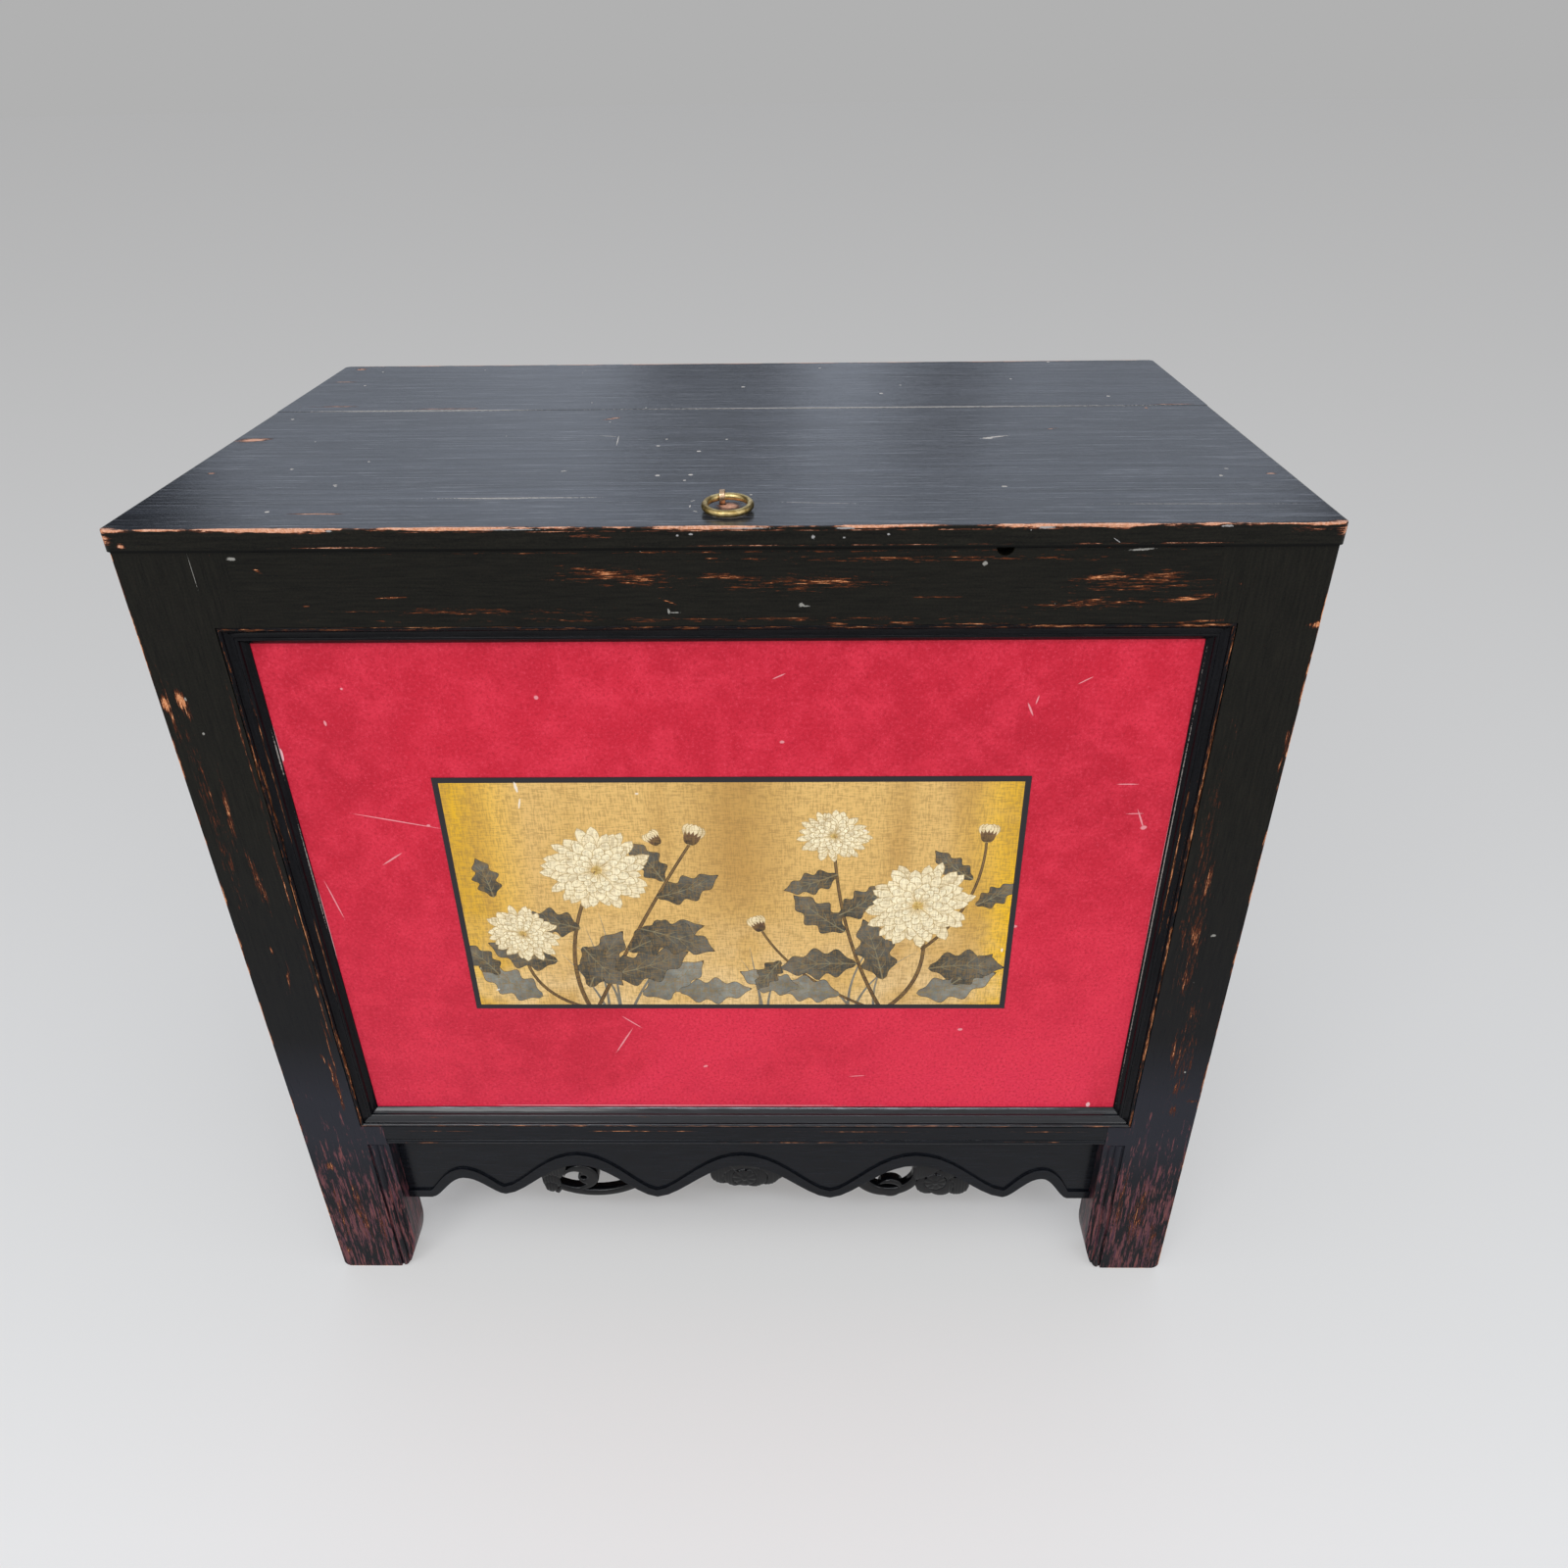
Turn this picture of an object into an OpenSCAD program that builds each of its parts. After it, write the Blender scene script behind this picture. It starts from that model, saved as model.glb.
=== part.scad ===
// Lacquered storage chest on short legs: frame and panel case, a hinged plank lid with a
// ring pull, a red front panel with a picture, and a scalloped apron with carved arches.
// Origin: middle of the footprint, at floor level. +Z up, the front faces -Y.

/* [Overall] */
// Width of the lid
top_w = 960; // [860:1:1200]
// Depth of the lid, front to back
top_d = 580; // [480:1:760]
// Height from the floor to the top of the lid
height = 900; // [760:1:1000]
// How far the lid stands out past the case at the front and sides
overhang = 3; // [0:0.5:12]

/* [Lid] */
// Thickness of the lid boards
lid_t = 18; // [14:0.5:28]
// Dark gap between the lid and the case
lid_gap = 1; // [0.8:0.1:2]
// Depth of the rear lid board
rear_board_d = 217; // [150:1:260]
// Width of a lid batten
lid_batten_w = 40; // [30:1:60]
// Thickness of a lid batten
lid_batten_t = 20; // [16:1:30]
// Distance of the lid battens from the middle
lid_batten_x = 210; // [150:1:240]
// Room between a lid batten's end and the rails
lid_batten_room = 8; // [4:0.5:20]
// Rounding of the lid's corners, seen from above
lid_corner = 6; // [2:0.5:20]
// Distance of a batten's nails from its ends and from the board joint
nail_inset = 30; // [20:1:60]
// Diameter of a lid nail
nail_d = 2.5; // [2:0.1:4]
// Diameter of a lid nail's head
nail_head_d = 7; // [5:0.5:9]
// Depth that a lid nail bites into the lid boards
nail_bite = 10; // [6:0.5:12]

/* [Posts] */
// Width of a post, seen from the front
post_w = 89; // [75:1:110]
// Depth of a post, front to back
post_d = 40; // [39:1:60]
// Width worn off the inner side of a foot
foot_taper_w = 14; // [6:1:20]
// Height over which the inner side of a foot is worn back
foot_taper_h = 52; // [30:1:90]
// Rounding of the outer bottom corner of a foot
foot_round = 8; // [3:0.5:14]
// Rounding of the inner bottom corner of a foot
foot_inner_round = 16; // [4:0.5:20]
// Width of the beads along the inner edge of a front leg
leg_bead_w = 22; // [16:1:30]
// Depth of the ground between the beads
leg_bead_t = 2.5; // [1:0.5:4]

/* [Rails] */
// Thickness of the front and rear rails
rail_t = 38; // [36:0.5:39]
// Height of the front top rail above the mouldings
top_rail_face = 64.5; // [50:0.5:90]
// Height of the front bottom rail below the mouldings
bottom_rail_face = 27.5; // [22:0.5:50]
// Height of the bottom rails above the floor
leg_h = 208; // [150:1:260]
// Height of the bead on the front bottom rail's lower edge
rail_bead_h = 7; // [5:0.5:9]
// Thickness of the side rails
side_rail_t = 30; // [26:0.5:40]
// Height of the side and rear top rails
plain_top_rail_h = 70; // [55:1:90]
// Height of the side and rear bottom rails
plain_bottom_rail_h = 46; // [44:1:70]
// Length of a rail's tenon
tenon_l = 24; // [18:0.5:30]
// Thickness of a rail's tenon
tenon_t = 8; // [6:0.5:9]
// Shoulder above and below a tenon
tenon_shoulder = 9; // [7:0.5:14]
// Room left in mortises and grooves
joint_room = 0.2; // [0.1:0.05:0.4]
// Diameter of the bamboo pegs in the tenons
peg_d = 6; // [4:0.5:8]
// How far a peg stops short of the front rebate, and runs on past a rear tenon
peg_cover = 1.5; // [1:0.5:2.5]
// Width of the round notch in the front top rail's upper edge
notch_w = 14; // [8:0.5:30]
// Distance of the notch from the middle, to the right
notch_x = 221; // [100:1:300]
// How far the notch runs in from the front
notch_in = 14; // [6:0.5:30]

/* [Front panel] */
// Width of a moulding
moulding_w = 19; // [16:0.5:24]
// Thickness of a moulding, which is how far the panel lies back
moulding_t = 12; // [11:0.5:14]
// Thickness of the front panel
panel_t = 12; // [8:0.5:14]
// How far the rebate runs on behind the mouldings
rebate_lap = 5; // [3:0.5:10]
// Room for the front panel to swell in its rebate
panel_room = 0.8; // [0.4:0.1:2]
// Width of the picture
picture_w = 530; // [300:1:600]
// Height of the picture
picture_h = 272; // [150:1:360]
// Height of the picture's middle above the middle of the panel
picture_rise = 5; // [-20:1:30]
// Thickness of the picture sheet
picture_t = 0.6; // [0.4:0.1:1.5]

/* [Side and back panels] */
// Thickness of the side panels and the back boards
board_t = 12; // [9:0.5:15]
// How far the side panels and the back boards lie back from the frame
board_recess = 8; // [5:0.5:10]
// Depth of the grooves that hold them
groove_d = 8; // [5:0.5:10]

/* [Floor] */
// Thickness of the floor boards
floor_t = 12; // [9:0.5:18]
// Width of a floor batten
floor_batten_w = 40; // [30:1:60]
// Height of a floor batten
floor_batten_t = 22; // [18:1:26]
// Distance of the floor battens from the middle
floor_batten_x = 210; // [100:1:260]
// Depth of the sockets that hold the battens' ends
socket_d = 10; // [6:0.5:14]

/* [Apron] */
// Thickness of the apron
apron_t = 18; // [14:0.5:19]
// How far the apron lies back from the front
apron_recess = 18; // [14:0.5:19]
// Drop of the apron's end pieces below the bottom rail
end_drop = 108; // [95:1:125]
// Drop of the two lobes beside the middle arch
inner_lobe_drop = 107; // [95:1:125]
// Drop of the two outer lobes
outer_lobe_drop = 104.5; // [90:0.5:120]
// Drop at the top of the three large arches
arch_drop = 54; // [45:1:62]
// Drop at the top of the two small arches
small_arch_drop = 75.5; // [65:0.5:85]
// Width of the raised border at the lobes
border_w = 11; // [8:0.5:16]
// Height that the border stands out from the field
border_t = 2.5; // [1:0.5:4]
// Thickness of the carved work in the arches
carving_t = 12; // [8:0.5:13]
// Length of the tongues that hold the apron
tongue_l = 6; // [4:0.5:8]
// Thickness of the tongues that hold the apron
tongue_t = 6; // [4:0.5:8]

/* [Hinges] */
// Length of a hinge
hinge_l = 70; // [55:1:90]
// Distance of the middle of a hinge from the end of the case
hinge_inset = 177; // [140:1:200]
// Width of a hinge leaf from the back of the case
leaf_w = 26; // [20:0.5:32]
// Thickness of a hinge leaf
leaf_t = 1.6; // [1.2:0.1:2]
// Outside diameter of the hinge knuckles
knuckle_d = 8; // [7:0.5:12]
// Diameter of a hinge pin
pin_d = 4; // [3:0.25:4.5]
// Clearance all round a hinge pin
pin_fit = 0.05; // [0.03:0.01:0.1]
// Gap between two knuckles
knuckle_gap = 0.3; // [0.2:0.05:0.6]
// Diameter of a hinge screw
screw_d = 3; // [2.5:0.1:3.5]
// Length of a hinge screw
screw_l = 11; // [8:0.5:12]
// Distance of the outer screws from a hinge's ends
screw_inset = 11; // [8:0.5:14]

/* [Ring pull] */
// Outside diameter of the ring
ring_d = 42; // [34:0.5:60]
// Diameter of the ring's bar
ring_bar_d = 6; // [4:0.25:7]
// Distance of the ring's staple from the lid's front edge
staple_y = 54; // [53:1:90]
// How far the ring has slid to the right in its staple
ring_slide = 5; // [0:0.5:7]
// Width of the staple's strap
strap_w = 4.5; // [3:0.5:6]
// Thickness of the staple's strap
strap_t = 1.3; // [1:0.1:2]
// Clearance of the ring in its staple
ring_fit = 0.3; // [0.3:0.05:1]
// Gap under the ring where it lies on the lid
ring_rest_gap = 0.3; // [0.3:0.05:0.6]
// Length of the staple's legs, bent over under the lid
clench_l = 9; // [5:0.5:11]

/* [Hidden] */

BLACK = "#23211f";
RED = "#c0293f";
WOOD = "#8a5a34";
BRASS = "#a08a4e";
IRON = "#4a4643";
eps = 0.5;
round_fn = 48;

// Case
case_w = top_w - 2 * overhang;
case_d = top_d - overhang;
rim_z = height - lid_t - lid_gap;
half_w = case_w / 2;
inner_x = half_w - post_w;
rear_inner_y = case_d - rail_t;

hinge_x = half_w - hinge_inset;

// Hinge line, just behind the case and level with the gap under the lid
knuckle_room = 0.4;
hinge_y = case_d + knuckle_room + knuckle_d / 2;
hinge_z = rim_z + lid_gap / 2;
front_y = -(hinge_y + knuckle_d / 2 - overhang) / 2;

// Front rebate, which holds the panel and its mouldings
rebate_w = moulding_w + rebate_lap;
rebate_d = moulding_t + panel_t;
rebate_x = inner_x + rebate_w;
rebate_lo = leg_h + bottom_rail_face;
rebate_hi = rim_z - top_rail_face;
panel_mid_z = (rebate_lo + rebate_hi) / 2;

// Narrow groove between the bottom rail and its bead
rail_quirk = 1.2;

// Tenons of the front and rear rails lie behind the rebate
tenon_y = rebate_d + (rail_t - rebate_d - tenon_t) / 2;
side_tenon_x = half_w - board_recess - board_t / 2 - tenon_t / 2;
groove_x = half_w - board_recess - board_t;
groove_y = case_d - board_recess - board_t;
rear_tenon_y = groove_y + (board_t - tenon_t) / 2;
side_bottom_z = leg_h + plain_bottom_rail_h;
side_top_z = rim_z - plain_top_rail_h;

// Floor
floor_top = leg_h + plain_bottom_rail_h;
floor_batten_z = floor_top - floor_t - floor_batten_t;

// Lid
lid_z = height - lid_t;
joint_y = case_d - rear_board_d;
batten_y0 = rail_t + lid_batten_room;
batten_y1 = rear_inner_y - lid_batten_room;
nail_ys = [batten_y0 + nail_inset, joint_y - nail_inset, joint_y + nail_inset, batten_y1 - nail_inset];

// Hinges
knuckles = 5;
knuckle_l = (hinge_l - (knuckles - 1) * knuckle_gap) / knuckles;
screw_xs = [-hinge_l / 2 + screw_inset, 0, hinge_l / 2 - screw_inset];
leaf_part = 0.2;
screw_head_d = 2 * screw_d;
screw_y = case_d - leaf_w / 2;
nail_head_t = 1.2;
fastener_room = 0.1;

// Ring, which lies forward on the lid and turns about its bar where the staple holds it
ring_r = (ring_d - ring_bar_d) / 2;
ring_reach = sqrt(ring_r * ring_r - ring_slide * ring_slide);
ring_hole_r = ring_r - ring_bar_d / 2;
strap_r = ring_reach - sqrt(pow(ring_hole_r, 2) - pow(strap_w / 2 + ring_slide, 2)) + ring_fit;
strap_rise = 0.2;
ring_pivot_y = staple_y - overhang;
ring_pivot_z = height + strap_rise + strap_t + strap_r;
ring_tilt = asin((ring_pivot_z - height - ring_bar_d / 2 - ring_rest_gap) / (ring_reach + ring_r));

// Lower edge of the apron: waves between these stations, as [share of half the length, drop]. It is carved
// by eye, so its left and its right differ by a few millimetres
lobe_offset = 2;
apron_stations = [
    [-0.933, end_drop], [-0.828, small_arch_drop], [-0.714, outer_lobe_drop - lobe_offset],
    [-0.487, arch_drop], [-0.266, inner_lobe_drop], [-0.013, arch_drop], [0.242, inner_lobe_drop + 1],
    [0.487, arch_drop], [0.748, outer_lobe_drop + lobe_offset], [0.855, small_arch_drop],
    [0.936, end_drop]];
wave_steps = 8;

// Below 1 the lobes are narrower than the arches
wave_shape = 0.85;

// Sideways shift of the border's upper edge for a slope of 1, which keeps its width on the flanks
border_lean = 3.5;
apron_lo = leg_h - end_drop;
carving_y = apron_recess + border_t + 0.5;

// The carved outlines are drawn for places 180.8 from the middle, and scaled to fit
arch_x = 0.466 * inner_x;
carving_scale = arch_x / 180.8;
tongue_y = apron_recess + (apron_t - tongue_t) / 2;

// Share of a half wave's height at the share t of its length, from the lobe up
function rise(t) = (1 - cos(180 * pow(t, wave_shape))) / 2;

apron_low = concat(
    [[-inner_x, apron_lo]],
    [for (i = [0 : len(apron_stations) - 2], k = [0 : wave_steps - 1])
        let (
            a = apron_stations[i],
            b = apron_stations[i + 1],
            t = k / wave_steps,
            part = a[1] > b[1] ? rise(t) : 1 - rise(1 - t))
        [inner_x * (a[0] + (b[0] - a[0]) * t), leg_h - a[1] - (b[1] - a[1]) * part]],
    [[inner_x * apron_stations[len(apron_stations) - 1][0], apron_lo], [inner_x, apron_lo]]);

// Upper edge of the border
apron_high = [for (i = [0 : len(apron_low) - 1])
    let (
        p = apron_low[i],
        a = apron_low[max(i - 1, 0)],
        b = apron_low[min(i + 1, len(apron_low) - 1)],
        slope = (b[1] - a[1]) / (b[0] - a[0]))
    [p[0] - border_lean * slope, p[1] + border_w * (1 + (p[1] - apron_lo) / end_drop)]];

function reversed(list) = [for (i = [len(list) - 1 : -1 : 0]) list[i]];

// Everything is drawn with the front face of the posts at y = 0, then moved into place
module placed() translate([0, front_y, 0]) children();

module mirrored_x(flip) mirror([flip ? 1 : 0, 0, 0]) children();

// Block given by its two opposite corners
module block(lo, hi) translate(lo) cube([hi[0] - lo[0], hi[1] - lo[1], hi[2] - lo[2]]);

// Upright plate from an outline in X and Z, between two depths
module upright(y0, y1) translate([0, y1, 0]) rotate([90, 0, 0]) linear_extrude(y1 - y0) children();

module disc_at(x, z, r) translate([x, z]) circle(r = r, $fn = round_fn);

// Cut for the worn foot of a left post: the tapered inner side and the two round bottom corners
module foot_cut() {
    steps = 8;
    round_steps = 5;
    first = 2;
    taper = [for (k = [0 : steps]) [
        -inner_x - foot_taper_w * pow(1 - k / steps, 1.8),
        foot_taper_h * k / steps]];
    lean = atan((taper[first][0] - taper[0][0]) / taper[first][1]);
    round_x = taper[0][0] + foot_inner_round * (tan(lean) - 1 / cos(lean));
    upright(-eps, case_d + eps) {
        polygon(concat(
            [for (k = [0 : round_steps]) let (turn = (90 - lean) * k / round_steps) [
                round_x + foot_inner_round * sin(turn),
                foot_inner_round * (1 - cos(turn))]],
            [for (k = [first : steps]) taper[k]],
            [[-inner_x + eps, foot_taper_h], [-inner_x + eps, -eps], [round_x, -eps]]));
        difference() {
            translate([-half_w - eps, -eps]) square(foot_round + eps);
            disc_at(foot_round - half_w, foot_round, foot_round);
        }
    }
}

// Mortise in a left post for a front or rear rail, between two depths
module rail_mortise(y0, z0, z1) {
    block(
        [-inner_x - tenon_l - joint_room, y0 - joint_room, z0 + tenon_shoulder - joint_room],
        [-inner_x + eps, y0 + tenon_t + joint_room, z1 - tenon_shoulder + joint_room]);
}

// Mortise in a left post for a side rail
module side_mortise(y0, y1, z0, z1) {
    block(
        [-side_tenon_x - tenon_t - joint_room, y0, z0 + tenon_shoulder - joint_room],
        [-side_tenon_x + joint_room, y1, z1 - tenon_shoulder + joint_room]);
}

// Groove in a left post for the side panel
module side_groove(y0, y1) {
    block(
        [-groove_x - board_t - joint_room, y0, side_bottom_z - groove_d - joint_room],
        [-groove_x + joint_room, y1, side_top_z + groove_d + joint_room]);
}

// Beads along the inner edge of a front leg, below the bottom rail
module leg_bead_ground() block([-inner_x - leg_bead_w, -eps, -eps], [-inner_x + eps, leg_bead_t, leg_h]);

module leg_beads() {
    large_d = leg_bead_w * 0.42;
    small_d = leg_bead_w * 0.26;
    for (bead = [[leg_bead_w - large_d / 2 - 1, large_d], [leg_bead_w - large_d - 1.6 - small_d / 2, small_d]])
        translate([-inner_x - bead[0], bead[1] / 2, 0])
            cylinder(d = bead[1], h = leg_h - 1, $fn = round_fn);
}

module front_post(flip) mirrored_x(flip) {
    difference() {
        union() {
            difference() {
                block([-half_w, 0, 0], [-inner_x, post_d, rim_z]);
                leg_bead_ground();
            }
            leg_beads();
        }
        foot_cut();
        block([-rebate_x, -eps, rebate_lo], [-inner_x + eps, rebate_d, rebate_hi]);
        rail_mortise(tenon_y, leg_h, rebate_lo + rebate_w);
        rail_mortise(tenon_y, rebate_hi - rebate_w, rim_z);
        side_mortise(post_d - tenon_l - joint_room, post_d + eps, leg_h, side_bottom_z);
        side_mortise(post_d - tenon_l - joint_room, post_d + eps, side_top_z, rim_z);
        side_groove(post_d - groove_d - joint_room, post_d + eps);
        block(
            [-inner_x - tongue_l - joint_room, tongue_y - joint_room, apron_lo + tongue_l],
            [-inner_x + eps, tongue_y + tongue_t + joint_room, leg_h]);
        rail_peg_holes();
    }
}

module rear_post(flip) mirrored_x(flip) {
    front_face = case_d - post_d;
    difference() {
        block([-half_w, front_face, 0], [-inner_x, case_d, rim_z]);
        foot_cut();
        rail_mortise(rear_tenon_y, leg_h, side_bottom_z);
        rail_mortise(rear_tenon_y, side_top_z, rim_z);
        side_mortise(front_face - eps, front_face + tenon_l + joint_room, leg_h, side_bottom_z);
        side_mortise(front_face - eps, front_face + tenon_l + joint_room, side_top_z, rim_z);
        side_groove(front_face - eps, front_face + groove_d + joint_room);
        block(
            [-inner_x - groove_d - joint_room, groove_y - joint_room, side_bottom_z - groove_d - joint_room],
            [-inner_x + eps, groove_y + board_t + joint_room, side_top_z + groove_d + joint_room]);
        rail_peg_holes();
    }
}

// Bamboo pegs, driven from inside the case through the tenons of the front and rear rails
module rail_peg_set(d, extra) {
    peg_x = inner_x + tenon_l / 2;
    front_y0 = rebate_d + peg_cover;
    rear_y1 = rear_tenon_y + tenon_t + peg_cover;
    for (z = [(leg_h + rebate_lo + rebate_w) / 2, (rebate_hi - rebate_w + rim_z) / 2], side = [-1, 1])
        translate([side * peg_x, front_y0, z])
            rotate([-90, 0, 0]) cylinder(d = d, h = post_d - front_y0 + extra, $fn = round_fn);
    for (z = [(leg_h + side_bottom_z) / 2, (side_top_z + rim_z) / 2], side = [-1, 1])
        translate([side * peg_x, case_d - post_d - extra, z])
            rotate([-90, 0, 0]) cylinder(d = d, h = rear_y1 - case_d + post_d + extra, $fn = round_fn);
}

module rail_peg_holes() rail_peg_set(peg_d + fastener_room, eps);

// Tenons at both ends of a front or rear rail
module rail_tenons(y0, z0, z1) for (side = [0, 1]) mirrored_x(side == 1)
    block(
        [-inner_x - tenon_l, y0, z0 + tenon_shoulder],
        [-inner_x + eps, y0 + tenon_t, z1 - tenon_shoulder]);

module front_top_rail_shape() {
    z0 = rebate_hi - rebate_w;
    difference() {
        union() {
            block([-inner_x, 0, rebate_hi], [inner_x, rail_t, rim_z]);
            block([-inner_x, rebate_d, z0], [inner_x, rail_t, rebate_hi]);
            rail_tenons(tenon_y, z0, rim_z);
        }
        translate([notch_x, -eps, rim_z])
            rotate([-90, 0, 0]) cylinder(d = notch_w, h = notch_in + eps, $fn = round_fn);
        rail_peg_holes();
    }
}

module front_bottom_rail_shape() {
    z1 = rebate_lo + rebate_w;
    difference() {
        union() {
            block([-inner_x, rail_bead_h / 2, leg_h], [inner_x, rail_t, rebate_lo]);
            block([-inner_x, 0, leg_h + rail_bead_h + rail_quirk], [inner_x, rail_t, rebate_lo]);
            block([-inner_x, rebate_d, leg_h], [inner_x, rail_t, z1]);
            translate([0, rail_bead_h / 2, leg_h + rail_bead_h / 2])
                rotate([0, 90, 0]) cylinder(d = rail_bead_h, h = 2 * inner_x, center = true, $fn = round_fn);
            rail_tenons(tenon_y, leg_h, z1);
        }
        // Groove for the apron's top tongue
        block(
            [-inner_x - eps, tongue_y - joint_room, leg_h - eps],
            [inner_x + eps, tongue_y + tongue_t + joint_room, leg_h + tongue_l + joint_room]);
        floor_batten_sockets(rail_t - socket_d, rail_t + eps);
        rail_peg_holes();
    }
}

module rear_rail(z0, z1) {
    block([-inner_x, rear_inner_y, z0], [inner_x, case_d, z1]);
    rail_tenons(rear_tenon_y, z0, z1);
}

module back_groove() {
    block(
        [-inner_x - eps, groove_y - joint_room, side_bottom_z - groove_d - joint_room],
        [inner_x + eps, groove_y + board_t + joint_room, side_top_z + groove_d + joint_room]);
}

module rear_top_rail_shape() {
    difference() {
        rear_rail(side_top_z, rim_z);
        back_groove();
        for (side = [-1, 1]) translate([side * hinge_x, 0, 0]) {
            leaf_recess(hinge_z - leaf_part - leaf_t, rim_z + eps);
            screw_set(-1, fastener_room);
        }
        rail_peg_holes();
    }
}

module rear_bottom_rail_shape() {
    difference() {
        rear_rail(leg_h, side_bottom_z);
        back_groove();
        floor_batten_sockets(rear_inner_y - eps, rear_inner_y + socket_d);
        rail_peg_holes();
    }
}

// Left side rail between two heights, grooved for the side panel
module side_rail(flip, z0, z1) mirrored_x(flip) {
    difference() {
        union() {
            block([-half_w, post_d, z0], [-half_w + side_rail_t, case_d - post_d, z1]);
            block(
                [-side_tenon_x - tenon_t, post_d - tenon_l, z0 + tenon_shoulder],
                [-side_tenon_x, case_d - post_d + tenon_l, z1 - tenon_shoulder]);
        }
        block(
            [-groove_x - board_t - joint_room, post_d - eps, side_bottom_z - groove_d - joint_room],
            [-groove_x + joint_room, case_d - post_d + eps, side_top_z + groove_d + joint_room]);
    }
}

module side_panel(flip) mirrored_x(flip)
    block(
        [-groove_x - board_t, post_d - groove_d, side_bottom_z - groove_d],
        [-groove_x, case_d - post_d + groove_d, side_top_z + groove_d]);

// One of the upright back boards, counted from the left
module back_board(i) {
    boards = 3;
    lo = -inner_x - groove_d;
    step = (2 * inner_x + 2 * groove_d) / boards;
    block(
        [lo + i * step + (i > 0 ? joint_room : 0), groove_y, side_bottom_z - groove_d],
        [lo + (i + 1) * step, groove_y + board_t, side_top_z + groove_d]);
}

module front_panel_shape() block(
    [-rebate_x + panel_room, moulding_t, rebate_lo + panel_room],
    [rebate_x - panel_room, rebate_d, rebate_hi - panel_room]);

module picture_shape() block(
    [-picture_w / 2, moulding_t - picture_t, panel_mid_z + picture_rise - picture_h / 2],
    [picture_w / 2, moulding_t, panel_mid_z + picture_rise + picture_h / 2]);

function arc(centre, r, from, to) = [
    for (k = [0 : 8]) let (a = from + (to - from) * k / 8) centre + r * [cos(a), sin(a)]];

// Section of a moulding: first value back from the front, second value in from the rebate's edge,
// both on a grid of 12 by 19 that is scaled to the moulding's size. It has an outer bead, a cove,
// an inner bead and a sloping lip.
module moulding_section() polygon([
    for (p = concat(
        [[12, 0]], arc([2, 2], 2, -90, -300),
        [[3.6, 4.8], [4.5, 6.4], [4.9, 8.4], [5, 10]], arc([5.5, 12.2], 1.8, -110, -250),
        [[6.6, 14.2], [7, 15.2], [11.2, 19], [12, 19]]))
    [p[0] * moulding_t / 12, p[1] * moulding_w / 19]]);

// A moulding along one edge of the rebate, mitred at both ends; run is the rebate's length there,
// and turn counts quarter turns from the bottom edge
module moulding(turn, run) {
    far = turn % 2 == 0 ? (rebate_hi - rebate_lo) / 2 : rebate_x;
    mitre = run / 2 - moulding_w;
    translate([0, 0, panel_mid_z]) rotate([0, 90 * turn, 0]) translate([0, 0, -far]) intersection() {
        translate([-run / 2, 0, 0]) rotate([90, 0, 90]) linear_extrude(run) moulding_section();
        upright(-eps, moulding_t + eps)
            polygon([[-run / 2, 0], [run / 2, 0], [mitre, moulding_w], [-mitre, moulding_w]]);
    }
}

// Floor battens run front to back, with their ends let into the bottom rails
module floor_batten(side) block(
    [side * floor_batten_x - floor_batten_w / 2, rail_t - socket_d + joint_room, floor_batten_z],
    [side * floor_batten_x + floor_batten_w / 2, rear_inner_y + socket_d - joint_room,
        floor_batten_z + floor_batten_t]);

module floor_batten_sockets(y0, y1) for (side = [-1, 1]) block(
    [side * floor_batten_x - floor_batten_w / 2 - joint_room, y0, floor_batten_z - joint_room],
    [side * floor_batten_x + floor_batten_w / 2 + joint_room, y1,
        floor_batten_z + floor_batten_t + joint_room]);

// One of the floor boards, counted from the front
module floor_board(i) {
    boards = 3;
    floor_x = half_w - side_rail_t - 2 * eps;
    y0 = post_d + 2 * eps;
    step = (case_d - 2 * post_d - 4 * eps) / boards;
    block(
        [-floor_x, y0 + i * step + (i > 0 ? eps : 0), floor_top - floor_t],
        [floor_x, y0 + (i + 1) * step, floor_top]);
}

// Carved work in the left arch: a leaf, a scroll and a lower rim, with its middle at x = 0
module carved_scroll() {
    polygon([
        [-50, 44], [-54, 30], [-52, 16], [-49, 7], [-41, 3], [-36, 0],
        [-31, 8], [-32, 24], [-25, 36], [-22, 50]]);
    difference() {
        disc_at(-8, 28, 20);
        difference() {
            disc_at(-15, 24, 13);
            disc_at(-1, 27, 11);
        }
        disc_at(-5.5, 28, 3);
    }
    // Lower rim, a long crescent
    intersection() {
        difference() {
            disc_at(7, 86, 89);
            disc_at(7, 88, 81);
        }
        translate([-32, -4]) square([84, 26]);
    }
}

// Carved work in the middle arch: a round flower between ribbed petals
module carved_flower() {
    for (petal = [[-3, 30, 16], [-14, 28, 13], [-27, 33, 15], [8, 29, 15], [22, 31, 14.5], [30, 34, 11]])
        disc_at(petal[0], petal[1], petal[2]);
    translate([-38, 30]) square([76, 27]);
}

// Carved work in the right arch: a pierced leaf, and a flower with petals
module carved_leaf() {
    difference() {
        disc_at(-23, 39, 41);
        disc_at(-20, 38, 27);
    }
    difference() {
        disc_at(-18, 11, 14.5);
        intersection() {
            disc_at(-22, -1, 19);
            disc_at(-22, 27, 18.5);
        }
    }
    for (petal = [[30, 22, 18], [24, 16, 14], [39, 14, 14.5], [57, 15, 14.5], [22, 36, 16], [42, 30, 12]])
        disc_at(petal[0], petal[1], petal[2]);
}

module apron_outline() polygon(concat(apron_low, [[inner_x, leg_h], [-inner_x, leg_h]]));

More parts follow.
